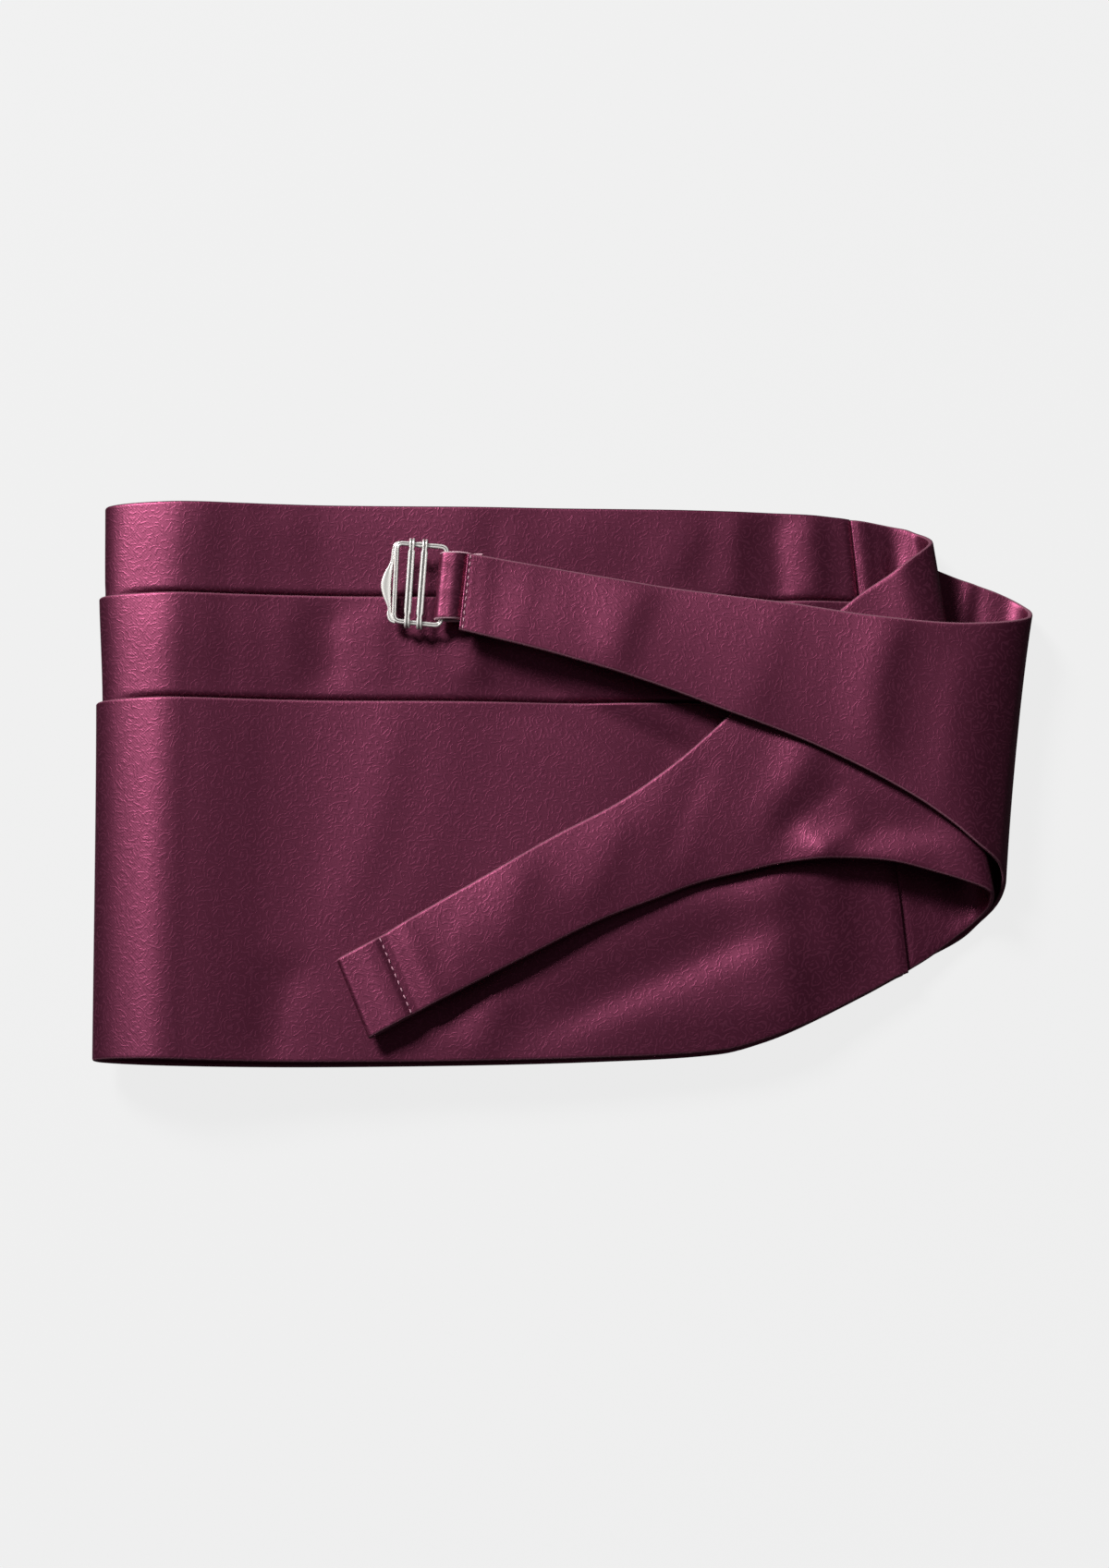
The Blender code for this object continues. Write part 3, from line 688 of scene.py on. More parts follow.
def loop_faces(wall, step, wire):
    """The cloth loop from its seam, over and round the slider's right wire and back under the strap's end."""
    radius = (wire + wall) / 2 + LOOP_SLACK
    path = list(LOOP_UPPER)
    for angle in np.linspace(*LOOP_TURN, 9):
        path.append((radius * math.cos(angle), SLIDER_HEIGHT + radius * math.sin(angle)))
    path += LOOP_LOWER
    path = np.array(path)
    lengths = np.concatenate([[0.0], np.cumsum(np.linalg.norm(np.diff(path, axis=0), axis=1))])
    table = np.column_stack([lengths, path])
    places = np.linspace(0.0, lengths[-1], round(lengths[-1] / step * LOOP_FINER))
    places = np.sort(np.append(places, [EDGE_ROW, lengths[-1] - EDGE_ROW]))
    x, z = curve(table, places, 1), curve(table, places, 2)
    slope_x, slope_z = np.gradient(x, places), np.gradient(z, places)
    size = np.hypot(slope_x, slope_z)
    normal = np.stack([slope_z / size, np.zeros_like(x), -slope_x / size], axis=-1)[:, None, :]
    y = np.linspace(LOOP_UPPER_Y - wall / 2, LOOP_LOWER_Y + wall / 2, LOOP_COLUMNS)
    (upper_x, upper_y), (lower_x, lower_y) = FRAME_CORNERS[1], FRAME_CORNERS[2]
    wire_x = mix(lower_x, upper_x, (y - lower_y) / (upper_y - lower_y))
    (height, close, reach), (even_height, even_close) = SEAM_PUCKER, EVEN_PUCKER
    pucker = height * np.sin(y * close) * np.exp(-places[:, None] / reach)
    pucker = pucker + even_height * np.sin(y * even_close + 1.0)
    points = np.stack([
        wire_x[None, :] + x[:, None],
        np.broadcast_to(y, (len(x), len(y))),
        np.broadcast_to(z[:, None], (len(x), len(y))),
    ], axis=-1)
    points = points + normal * -pucker[..., None]
    return points - normal * (wall / 2), points + normal * (wall / 2)


def to_model(points):
    """Points from the maker's layout in millimetres to the model's frame in metres."""
    return (np.asarray(points, float) - np.array([CENTRE[0], CENTRE[1], 0.0])) * MM


def closed_wall(outer, inner, bends=5):
    """Rings round a wall: the outer face, a rounded edge, the inner face back again and the other edge."""

    def edge(a, b, a_before, b_before):
        middle, half = (a + b) / 2, (a - b) / 2
        out = middle - (a_before + b_before) / 2
        out = out / np.linalg.norm(out, axis=-1, keepdims=True) * np.linalg.norm(half, axis=-1, keepdims=True)
        turns = np.linspace(0.0, np.pi, bends + 2)[1:-1]
        return np.stack([middle + half * math.cos(t) + out * math.sin(t) for t in turns], axis=1)

    far = edge(outer[:, -1], inner[:, -1], outer[:, -2], inner[:, -2])
    near = edge(inner[:, 0], outer[:, 0], inner[:, 1], outer[:, 1])
    return np.concatenate([outer, far, inner[:, ::-1], near], axis=1)


def placed(name, data):
    """A new object with the data, in the scene."""
    made = bpy.data.objects.new(name, data)
    bpy.context.scene.collection.objects.link(made)
    return made


def face_out(mesh):
    """Turns a closed mesh's faces outwards, if its volume says that they point in."""
    mesh.calc_loop_triangles()
    points = np.zeros(len(mesh.vertices) * 3)
    mesh.vertices.foreach_get("co", points)
    corners = np.zeros(len(mesh.loop_triangles) * 3, int)
    mesh.loop_triangles.foreach_get("vertices", corners)
    a, b, c = points.reshape(-1, 3)[corners.reshape(-1, 3)].transpose(1, 0, 2)
    if np.sum(a * np.cross(b, c)) < 0.0:
        mesh.flip_normals()


def cloth_piece(name, outer, inner, surface, edge):
    """A thin closed piece of cloth, whose UV map has the metres along and across the cloth."""
    columns = outer.shape[1]
    points = closed_wall(outer, inner)
    rings, size = points.shape[:2]
    bends = (size - 2 * columns) // 2
    steps = np.linalg.norm(np.diff(points, axis=1, append=points[:, :1]), axis=-1)
    across = np.concatenate([np.zeros((rings, 1)), np.cumsum(steps, axis=1)], axis=1)
    across = across - across[:, columns // 2][:, None]
    middle = points[:, columns // 2]
    along = np.concatenate([[0.0], np.cumsum(np.linalg.norm(np.diff(middle, axis=0), axis=1))])
    i, j = np.meshgrid(np.arange(rings - 1), np.arange(size), indexing="ij")
    i, j = i.ravel(), j.ravel()
    after = (j + 1) % size
    faces = np.stack([i * size + j, i * size + after, (i + 1) * size + after, (i + 1) * size + j], axis=1)
    uv = np.stack([
        np.stack([along[i], across[i, j]], axis=1),
        np.stack([along[i], across[i, j + 1]], axis=1),
        np.stack([along[i + 1], across[i + 1, j + 1]], axis=1),
        np.stack([along[i + 1], across[i + 1, j]], axis=1),
    ], axis=1).reshape(-1, 2)
    faces = faces.tolist()
    uv = [uv]
    inner_first = columns + bends
    inner_last = inner_first + columns - 1
    for ring in (0, rings - 1):
        caps = [[k, k + 1, inner_last - 1 - k, inner_last - k] for k in range(columns - 1)]
        caps.append(list(range(columns - 1, inner_first + 1)))
        caps.append(list(range(inner_last, size)) + [0])
        for cap in caps:
            corners = cap if ring else cap[::-1]
            faces.append([ring * size + k for k in corners])
            uv.append(np.array([[along[ring], across[ring, k]] for k in corners]))
    mesh = bpy.data.meshes.new(name)
    mesh.from_pydata(to_model(points.reshape(-1, 3)), [], faces)
    # The edge attribute carries the painted highlight along each sheet's rounded edges
    painted_light = np.zeros((rings, size))
    painted_light[:, columns:columns + bends] = painted_light[:, size - bends:] = edge
    mesh.attributes.new("edge", "FLOAT", "POINT").data.foreach_set("value", painted_light.ravel())
    layer = mesh.uv_layers.new(name="cloth")
    layer.data.foreach_set("uv", (np.concatenate(uv) * MM).astype(np.float32).ravel())
    face_out(mesh)
    smooth = np.ones(len(faces), bool)
    smooth[len(i):] = False
    mesh.polygons.foreach_set("use_smooth", smooth)
    mesh.materials.append(surface)
    return placed(name, mesh)


def lay_cloth(name, outer, inner, surface):
    """A piece of cloth in place of its solid, which it hides, fixed to the root body."""
    piece = cloth_piece(name + "_satin", outer, inner, surface, EDGE_HIGHLIGHT[name])
    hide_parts(name)
    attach(piece, "root")


def add_piece(name, points, faces, surface, painted_shade):
    """A closed mesh piece from points in the maker's layout, with the painted shade at each point of its
    section.
    """
    mesh = bpy.data.meshes.new(name)
    mesh.from_pydata(to_model(points), [], faces)
    repeats = len(points) // len(painted_shade)
    mesh.attributes.new("painted_shade", "FLOAT", "POINT").data.foreach_set("value", np.tile(painted_shade, repeats))
    face_out(mesh)
    mesh.shade_smooth()
    mesh.materials.append(surface)
    return placed(name, mesh)


def sweep(path, profile, widths, across, closed):
    """Points and faces of a bar with the profile's section along a path, its open ends domed."""
    path = np.asarray(path, float)
    ahead, behind = np.roll(path, -1, axis=0), np.roll(path, 1, axis=0)
    if not closed:
        ahead[-1], behind[0] = path[-1], path[0]
    forward = ahead - behind
    forward /= np.linalg.norm(forward, axis=1, keepdims=True)
    side = across(forward)
    side /= np.linalg.norm(side, axis=1, keepdims=True)
    up = np.cross(forward, side)
    widths = np.broadcast_to(widths, len(path))
    rings = [
        centre + np.outer(profile[:, 0] * width, a) + np.outer(profile[:, 1], b)
        for centre, a, b, width in zip(path, side, up, widths)
    ]
    if not closed:
        dome = np.abs(profile).max()
        for turn in DOME_TURNS:
            centre = path[-1] + forward[-1] * dome * math.sin(turn)
            rings.append(centre + (rings[len(path) - 1] - path[-1]) * math.cos(turn))
        first = [
            path[0] - forward[0] * dome * math.sin(turn) + (rings[0] - path[0]) * math.cos(turn)
            for turn in reversed(DOME_TURNS)
        ]
        rings = first + rings
    count, size = len(rings), len(profile)
    faces = []
    for i in range(count if closed else count - 1):
        for j in range(size):
            a, b = i * size + j, i * size + (j + 1) % size
            ahead = ((i + 1) % count - i) * size
            faces.append((a, b, b + ahead, a + ahead))
    if not closed:
        faces.append(tuple(range(size)))
        faces.append(tuple((count - 1) * size + j for j in range(size)))
    return np.concatenate(rings), faces


def grooved_profile(diameter, flatness, groove, sides=40):
    """A wire's section with a groove along its top, as on a folded strip, and the painted shade all round it.
    """
    turns = np.linspace(0.0, math.tau, sides, endpoint=False)
    x = np.cos(turns) * diameter / 2
    z = np.sin(turns) * diameter / 2 * flatness
    # Painted shade: full in the groove's hollow and on the lower flanks, fading to none on the upper crests
    hollow = np.exp(-((x / (diameter * 0.15)) ** 2)) * (np.sin(turns) > 0)
    painted_shade = np.maximum(hollow, 0.9 * ease((0.55 - np.sin(turns)) / 0.5))
    return np.stack([x, z - groove * hollow], axis=1), painted_shade


def rounded_path(corners, radius, height, steps=8):
    """A closed path with its corners rounded."""
    points = []
    count = len(corners)
    for i in range(count):
        corner, before, after = (
            np.array([*corners[(i + k) % count], height]) for k in (0, -1, 1)
        )
        start = corner + (before - corner) / np.linalg.norm(before - corner) * radius
        end = corner + (after - corner) / np.linalg.norm(after - corner) * radius
        for t in np.linspace(0.0, 1.0, steps):
            points.append(mix(mix(start, corner, t), mix(corner, end, t), t))
        ahead = np.array([*corners[(i + 1) % count], height])
        further = ahead + (corner - ahead) / np.linalg.norm(corner - ahead) * radius
        points += [mix(end, further, t) for t in np.linspace(0.0, 1.0, 10)[1:-1]]
    return points


def crossing(upper_x, lower_x):
    """Where a cross bar meets the frame's upper and lower wires."""
    found = []
    for x, first, second in (
        (upper_x, FRAME_CORNERS[0], FRAME_CORNERS[1]),
        (lower_x, FRAME_CORNERS[3], FRAME_CORNERS[2]),
    ):
        found.append((x, mix(first[1], second[1], (x - first[0]) / (second[0] - first[0]))))
    return found


def bar_path(upper_x, lower_x, wire):
    """A cross bar over the frame's upper and lower wires, each end turned down round its wire."""
    reach = (wire + BAR_DEPTH) / 2 + BAR_SLACK
    (x1, y1), (x2, y2) = crossing(upper_x, lower_x)
    turns = np.radians(np.linspace(LUG_TURN, 90.0, 12))
    path = [(x1, y1 + reach * math.cos(a), SLIDER_HEIGHT + reach * math.sin(a)) for a in turns]
    path += [
        (mix(x1, x2, t), mix(y1, y2, t), SLIDER_HEIGHT + reach) for t in np.linspace(0.0, 1.0, 46)[1:-1]
    ]
    path += [(x2, y2 - reach * math.cos(a), SLIDER_HEIGHT + reach * math.sin(a)) for a in turns[::-1]]
    return path


def bar_widths(path, lug_length):
    """A bar's width along it: its two clasping ends are narrower, with a nick where each begins."""
    path = np.array(path)
    lengths = np.concatenate([[0.0], np.cumsum(np.linalg.norm(np.diff(path, axis=0), axis=1))])
    from_end = np.minimum(lengths, lengths[-1] - lengths)
    past = from_end - lug_length
    (wider, taper), (nick, half_length) = LUG_TAPER, LUG_NICK
    return LUG_WIDTH + wider * ease(past / taper) - nick * np.exp(-((past / half_length) ** 2))


def tab_mesh():
    """The crescent tab as a plate with rounded edges."""
    steps = np.linspace(0, len(TAB_OUTER) - 1, 40)
    keys = np.arange(len(TAB_OUTER))
    sides = []
    for edge in (TAB_OUTER, TAB_INNER):
        table = np.column_stack([keys, edge])
        sides.append(np.stack([curve(table, steps, 1), curve(table, steps, 2)], axis=1))
    outer, inner = sides
    across = inner - outer
    width = np.linalg.norm(across, axis=1, keepdims=True)
    across /= width
    half = TAB_THICKNESS / 2
    levels = [
        (np.minimum(TAB_EDGE, width * 0.45) * (1.0 - math.cos(turn)), half * math.sin(turn))
        for turn in np.linspace(-math.pi / 2, math.pi / 2, 7)
    ]
    levels.append((np.maximum(width * 0.36, levels[-1][0]), half - TAB_DISH))
    rings = []
    for inset, level in levels:
        z = np.full((len(outer), 1), SLIDER_HEIGHT + level)
        there = np.hstack([outer + across * inset, z])
        back = np.hstack([inner - across * inset, z])
        rings.append(np.concatenate([there, back[::-1]]))
    size = len(rings[0])
    faces = []
    for i in range(len(rings) - 1):
        for j in range(size):
            a, b = i * size + j, i * size + (j + 1) % size
            faces.append((a, b, b + size, a + size))
    for base in (0, (len(rings) - 1) * size):
        last = base + size - 1
        faces += [(base + j, base + j + 1, last - 1 - j, last - j) for j in range(size // 2 - 1)]
    # Painted shade: dark underneath, fading round the rim to none on top, and grey over the dished middle
    painted_shade = np.repeat([0.7, 0.7, 0.5, 0.2] + [0.0] * (len(rings) - 5) + [0.45], size)
    return np.concatenate(rings), faces, painted_shade


def node(tree, kind, inputs=None, **settings):
    """A shader or geometry node with its settings, and its inputs by name or place."""
    made = tree.nodes.new(kind)
    for key, value in settings.items():
        setattr(made, key, value)
    for key, value in (inputs or {}).items():
        socket = made.inputs[key]
        if isinstance(value, bpy.types.NodeSocket):
            tree.links.new(value, socket)
        else:
            socket.default_value = value
    return made


def blend(tree, share, first, second):
    """The mix of two colours, each plain or a socket, by a share."""
    first, second = (c if isinstance(c, bpy.types.NodeSocket) else (*c, 1.0) for c in (first, second))
    return node(tree, "ShaderNodeMix", {0: share, 6: first, 7: second}, data_type="RGBA").outputs[2]


def shades(tree, share, colour, darker, lighter=1.0):
    """The mix of a darker and a lighter shade of a colour."""
    return blend(tree, share, tuple(c * darker for c in colour), tuple(c * lighter for c in colour))


def times(tree, first, second):
    """The product of two values."""
    return node(tree, "ShaderNodeMath", {0: first, 1: second}, operation="MULTIPLY").outputs[0]


def bumped(tree, shader, strength, distance, height):
    """Gives a shader relief."""
    bump = node(tree, "ShaderNodeBump", {"Strength": strength, "Distance": distance, "Height": height})
    tree.links.new(bump.outputs["Normal"], shader.inputs["Normal"])


def new_surface(name):
    """A material with an empty tree but for its shader, and that shader."""
    made = bpy.data.materials.new(name)
    made.use_nodes = True
    return made, made.node_tree, made.node_tree.nodes["Principled BSDF"]


def satin(name, look):
    """Burgundy satin with a fine tone-on-tone figure of curled lines over a close weave."""
    made, tree, shader = new_surface(name)
    cloth = node(tree, "ShaderNodeUVMap", uv_map="cloth")
    place = node(tree, "ShaderNodeVectorMath", {0: cloth.outputs["UV"], "Scale": 1000.0}, operation="SCALE")
    wander = node(tree, "ShaderNodeTexNoise", {
        "Vector": place.outputs["Vector"], "Scale": 0.42, "Detail": 1.0, "Roughness": 0.5,
    }, noise_dimensions="2D")
    bent = node(tree, "ShaderNodeVectorMath", {
        0: wander.outputs["Color"], 1: (2.6, 2.6, 0.0), 2: place.outputs["Vector"],
    }, operation="MULTIPLY_ADD")
    spots = node(tree, "ShaderNodeTexVoronoi", {
        "Vector": bent.outputs["Vector"], "Scale": look.figure_scale, "Randomness": 1.0,
    }, voronoi_dimensions="2D", feature="F1")
    turns = times(tree, spots.outputs["Distance"], look.figure_turns)
    wave = node(tree, "ShaderNodeMath", {0: turns}, operation="SINE")
    lines = node(tree, "ShaderNodeMapRange", {
        "Value": wave.outputs[0], "From Min": 0.0, "From Max": 0.9, "To Min": 0.0, "To Max": 1.0,
    }, interpolation_type="SMOOTHSTEP")
    breaks = node(tree, "ShaderNodeTexNoise", {
        "Vector": place.outputs["Vector"], "Scale": 0.75, "Detail": 1.0, "Roughness": 0.5,
    }, noise_dimensions="2D")
    gaps = node(tree, "ShaderNodeMapRange", {
        "Value": breaks.outputs["Fac"], "From Min": 0.34, "From Max": 0.46, "To Min": 0.0, "To Max": 1.0,
    })
    figure = times(tree, lines.outputs[0], gaps.outputs[0])
    clouds = node(tree, "ShaderNodeTexNoise", {
        "Vector": place.outputs["Vector"], "Scale": 0.05, "Detail": 3.0, "Roughness": 0.55,
    }, noise_dimensions="2D")
    ground = shades(tree, clouds.outputs["Fac"], look.colour, 0.93, 1.07)
    lift = times(tree, figure, look.figure_strength)
    colour = blend(tree, lift, ground, look.figure_colour)
    # Painted highlight: the turned edges are lightened towards the edge colour
    edge = node(tree, "ShaderNodeAttribute", attribute_name="edge")
    colour = blend(tree, edge.outputs["Fac"], colour, look.edge_highlight_colour)
    tree.links.new(colour, shader.inputs["Base Color"])
    sheen = node(tree, "ShaderNodeMapRange", {
        "Value": figure, "From Min": 0.0, "From Max": 1.0,
        "To Min": look.roughness + GROUND_ROUGHER, "To Max": look.roughness - FIGURE_SMOOTHER,
    })
    soft = node(tree, "ShaderNodeMath", {0: edge.outputs["Fac"], 1: EDGE_ROUGHER, 2: sheen.outputs[0]},
                operation="MULTIPLY_ADD", use_clamp=True)
    tree.links.new(soft.outputs[0], shader.inputs["Roughness"])
    weave = node(tree, "ShaderNodeTexWave", {
        "Vector": place.outputs["Vector"], "Scale": 0.9, "Distortion": 1.2, "Detail": 2.0,
        "Detail Scale": 1.4,
    }, wave_type="BANDS", bands_direction="DIAGONAL")
    relief = node(tree, "ShaderNodeMath", {0: weave.outputs["Fac"], 1: 0.22, 2: figure},
                  operation="MULTIPLY_ADD")
    bumped(tree, shader, look.figure_relief, 0.00012, relief.outputs[0])
    shader.inputs["IOR"].default_value = look.lustre
    shader.inputs["Specular Tint"].default_value = (*look.lustre_colour, 1.0)
    shader.inputs["Sheen Weight"].default_value = look.sheen
    shader.inputs["Sheen Roughness"].default_value = 0.45
    shader.inputs["Sheen Tint"].default_value = (*look.sheen_colour, 1.0)
    made.diffuse_color = (*look.colour, 1.0)
    return made


def polished_metal(name, look):
    """Nickel-plated wire with faint rub marks, and painted shade in its grooves, on its lower flanks and
    under its tab.
    """
    made, tree, shader = new_surface(name)
    place = node(tree, "ShaderNodeTexCoord")
    marks = node(tree, "ShaderNodeTexNoise", {
        "Vector": place.outputs["Object"], "Scale": 900.0, "Detail": 4.0, "Roughness": 0.65,
    })
    tone = shades(tree, marks.outputs["Fac"], look.metal, 0.96)
    # Painted shade: the metal is darkened towards the painted shade colour where the attribute asks
    painted_shade = node(tree, "ShaderNodeAttribute", attribute_name="painted_shade")
    painted_light = blend(tree, painted_shade.outputs["Fac"], tone, look.painted_shade_colour)
    tree.links.new(painted_light, shader.inputs["Base Color"])
    gloss = node(tree, "ShaderNodeMapRange", {
        "Value": marks.outputs["Fac"], "From Min": 0.3, "From Max": 0.7,
        "To Min": look.metal_roughness * 0.92, "To Max": look.metal_roughness * 1.1,
    })
    tree.links.new(gloss.outputs[0], shader.inputs["Roughness"])
    bumped(tree, shader, 0.02, 0.00005, marks.outputs["Fac"])
    shader.inputs["Metallic"].default_value = look.metal_share
    made.diffuse_color = (*look.metal, 1.0)
    return made


def thread(name, colour):
    """Stitching thread, twisted."""
    made, tree, shader = new_surface(name)
    place = node(tree, "ShaderNodeTexCoord")
    twist = node(tree, "ShaderNodeTexWave", {
        "Vector": place.outputs["Object"], "Scale": 1500.0, "Distortion": 1.0,
    }, bands_direction="DIAGONAL")
    tone = shades(tree, twist.outputs["Fac"], colour, 0.75)
    tree.links.new(tone, shader.inputs["Base Color"])
    bumped(tree, shader, 0.4, 0.00005, twist.outputs["Fac"])
    shader.inputs["Roughness"].default_value = 0.5
    made.diffuse_color = (*colour, 1.0)
    return made


def pale_floor(name, look):
    """The floor's pale matt surface, which glows a little by itself."""
    made, tree, shader = new_surface(name)
    place = node(tree, "ShaderNodeTexCoord")
    grain = node(tree, "ShaderNodeTexNoise", {
        "Vector": place.outputs["Object"], "Scale": 40.0, "Detail": 3.0,
    })
    tone = shades(tree, grain.outputs["Fac"], look.floor, 0.995)
    tree.links.new(tone, shader.inputs["Base Color"])
    shader.inputs["Roughness"].default_value = 0.9
    shader.inputs["Specular IOR Level"].default_value = 0.1
    shader.inputs["Emission Color"].default_value = (1.0, 1.0, 1.0, 1.0)
    shader.inputs["Emission Strength"].default_value = look.floor_glow
    return made


def stitch_tree():
    """Geometry nodes that lay one thread stitch after another along a curve."""
    tree = bpy.data.node_groups.new("Stitch row", "GeometryNodeTree")
    sockets = tree.interface
    sockets.new_socket(name="Line", in_out="INPUT", socket_type="NodeSocketGeometry")
    for name, value in (("Pitch", 0.0017), ("Stitch length", 0.0011), ("Thread", 0.0003), ("Waver", 0.12)):
        socket = sockets.new_socket(name=name, in_out="INPUT", socket_type="NodeSocketFloat")
        socket.default_value = value
    sockets.new_socket(name="Seed", in_out="INPUT", socket_type="NodeSocketInt").default_value = 4
    sockets.new_socket(name="Surface", in_out="INPUT", socket_type="NodeSocketMaterial")
    sockets.new_socket(name="Stitches", in_out="OUTPUT", socket_type="NodeSocketGeometry")
    given = tree.nodes.new("NodeGroupInput").outputs
    points = node(tree, "GeometryNodeCurveToPoints", {
        "Curve": given["Line"], "Length": given["Pitch"],
    }, mode="LENGTH")
    half = times(tree, given["Stitch length"], 0.5)
    radius = times(tree, given["Thread"], 0.5)
    size = node(tree, "ShaderNodeCombineXYZ", {0: half, 1: radius, 2: radius})
    ball = node(tree, "GeometryNodeMeshUVSphere", {"Segments": 10, "Rings": 7, "Radius": 1.0})
    grain = node(tree, "GeometryNodeTransform", {"Geometry": ball.outputs["Mesh"], "Scale": size.outputs[0]})
    wander = times(tree, given["Waver"], -1.0)
    turn = node(tree, "FunctionNodeRandomValue", {
        "Min": wander, "Max": given["Waver"], "Seed": given["Seed"],
    }, data_type="FLOAT")
    spin = node(tree, "ShaderNodeCombineXYZ", {2: turn.outputs[1]})
    aim = node(tree, "FunctionNodeAlignRotationToVector", {"Vector": points.outputs["Tangent"]}, axis="X")
    rotation = node(tree, "FunctionNodeRotateRotation", {
        "Rotation": aim.outputs[0], "Rotate By": spin.outputs[0],
    })
    instances = node(tree, "GeometryNodeInstanceOnPoints", {
        "Points": points.outputs["Points"], "Instance": grain.outputs["Geometry"],
        "Rotation": rotation.outputs[0],
    })
    real = node(tree, "GeometryNodeRealizeInstances", {"Geometry": instances.outputs["Instances"]})
    smooth = node(tree, "GeometryNodeSetShadeSmooth", {"Geometry": real.outputs["Geometry"]})
    painted = node(tree, "GeometryNodeSetMaterial", {
        "Geometry": smooth.outputs["Geometry"], "Material": given["Surface"],
    })
    end = tree.nodes.new("NodeGroupOutput")
    tree.links.new(painted.outputs["Geometry"], end.inputs["Stitches"])
    return tree


def stitch_row(name, points, look, surface, tree):
    """One row of stitches along the points, as a plain mesh."""
    line = bpy.data.curves.new(name + "_line", "CURVE")
    line.dimensions = "3D"
    spline = line.splines.new("POLY")
    spline.points.add(len(points) - 1)
    for point, place in zip(spline.points, to_model(points)):
        point.co = (*place, 1.0)
    carrier = placed(name + "_line", line)
    row = carrier.modifiers.new("Stitches", "NODES")
    row.node_group = tree
    values = {
        "Pitch": look.pitch, "Stitch length": look.length, "Thread": look.thread, "Waver": look.waver,
        "Surface": surface,
    }
    for item in tree.interface.items_tree:
        if item.in_out == "INPUT" and item.name in values:
            row[item.identifier] = values[item.name]
    ready = bpy.context.evaluated_depsgraph_get()
    mesh = bpy.data.meshes.new_from_object(carrier.evaluated_get(ready))
    mesh.name = name
    bpy.data.objects.remove(carrier)
    bpy.data.curves.remove(line)
    return placed(name, mesh)


def straps():
    """Both back straps' forms: tables, puckers, creases and the grooves that their stitches draw in."""
    plain, plain_length = strap_table(PLAIN_STRAP)
    buckled, buckled_length = strap_table(SLIDER_STRAP)
    hem = plain[-2][0]
    end = 1.0 - 0.8 / buckled_length
    return {
        "back_strap_plain": {
            "table": plain, "length": plain_length, "puckers": PLAIN_PUCKERS, "laid": PLAIN_LAID_CREASES,
            "root": PLAIN_ROOT_CREASES, "hem": True, "stitches": hem, "turn": 0.095,
            "grooves": (
                # place, height, half width
                (0.0, SEAM_TUCK, SEAM_TUCK_WIDTH),
                (hem, -0.25, 0.8),
                (hem - 1.9 / plain_length, -0.60, 1.7),
                (hem - 6.5 / plain_length, 0.25, 2.6),
                (hem + 4.0 / plain_length, 0.18, 2.2),
            ),
        },
        "back_strap_slider": {
            "table": buckled, "length": buckled_length, "puckers": SLIDER_PUCKERS,
            "laid": SLIDER_LAID_CREASES, "root": SLIDER_ROOT_CREASES, "hem": False,
            "stitches": end, "turn": 0.155,
            "grooves": (
                # place, height, half width
                (end, -0.10, 0.4),
                (1.0 - 5.0 / buckled_length, 0.07, 2.0),
            ),
        },
    }


def size_setting(name, description, default, low, high):
    """A setting that is a length."""
    return FloatProperty(
        name=name, description=description, default=default, min=low, max=high, unit="LENGTH"
    )


def share_setting(name, description, default, high=1.0, low=0.0):
    """A setting without a unit, from none to all."""
    return FloatProperty(
        name=name, description=description, default=default, min=low, max=high, subtype="FACTOR"
    )


def colour_setting(name, description, default):
    """A setting that is a colour."""
    return FloatVectorProperty(
        name=name, description=description, default=default, size=3, min=0.0, max=1.0, subtype="COLOR"
    )


class CummerbundCloth(bpy.types.PropertyGroup):
    """Sizes and finish of the satin."""

    wall: size_setting(
        "Cloth thickness", "Thickness of each doubled and pressed layer of satin", 0.0011, 0.0004, 0.0013,
    )
    step: size_setting("Mesh step", "Size of the cloth's mesh squares", 0.0012, 0.0006, 0.004)
    crease_depth: share_setting(
        "Crease depth", "How deep the small creases are, against their tables", 1.0, 1.5,
    )
    colour: colour_setting("Satin colour", "Colour of the satin's ground", (0.018, 0.0020, 0.0070))
    figure_colour: colour_setting(
        "Figure colour", "Colour of the fine curled figure woven into the satin", (0.100, 0.022, 0.046),
    )
    # The edge colour is the pale painted highlight laid along the turned edges
    edge_highlight_colour: colour_setting(
        "Edge colour", "Colour of the worn thread along the turned edges", (0.75, 0.52, 0.58),
    )
    figure_strength: share_setting("Figure strength", "How far the figure stands out in colour", 0.60)
    figure_scale: FloatProperty(
        name="Figure scale", description="Number of whorls in the figure for each millimetre",
        default=0.26, min=0.05, max=2.0,
    )
    figure_turns: FloatProperty(
        name="Figure closeness", description="How closely the figure's lines follow each other",
        default=23.5, min=5.0, max=120.0,
    )
    figure_relief: share_setting("Figure relief", "Strength of the figure's and the weave's relief", 0.185)
    roughness: share_setting("Roughness", "Roughness of the satin's face", 0.435, 1.0, 0.05)
    lustre: FloatProperty(
        name="Lustre", description="Index of refraction that gives the satin its lustre",
        default=2.5, min=1.3, max=3.0,
    )
    lustre_colour: colour_setting("Lustre colour", "Tint of the satin's highlights", (1.0, 0.22, 0.445))
    sheen: share_setting("Sheen", "Soft glow of the cloth seen at a low angle", 0.04)
    sheen_colour: colour_setting("Sheen colour", "Tint of the sheen", (1.0, 0.45, 0.62))


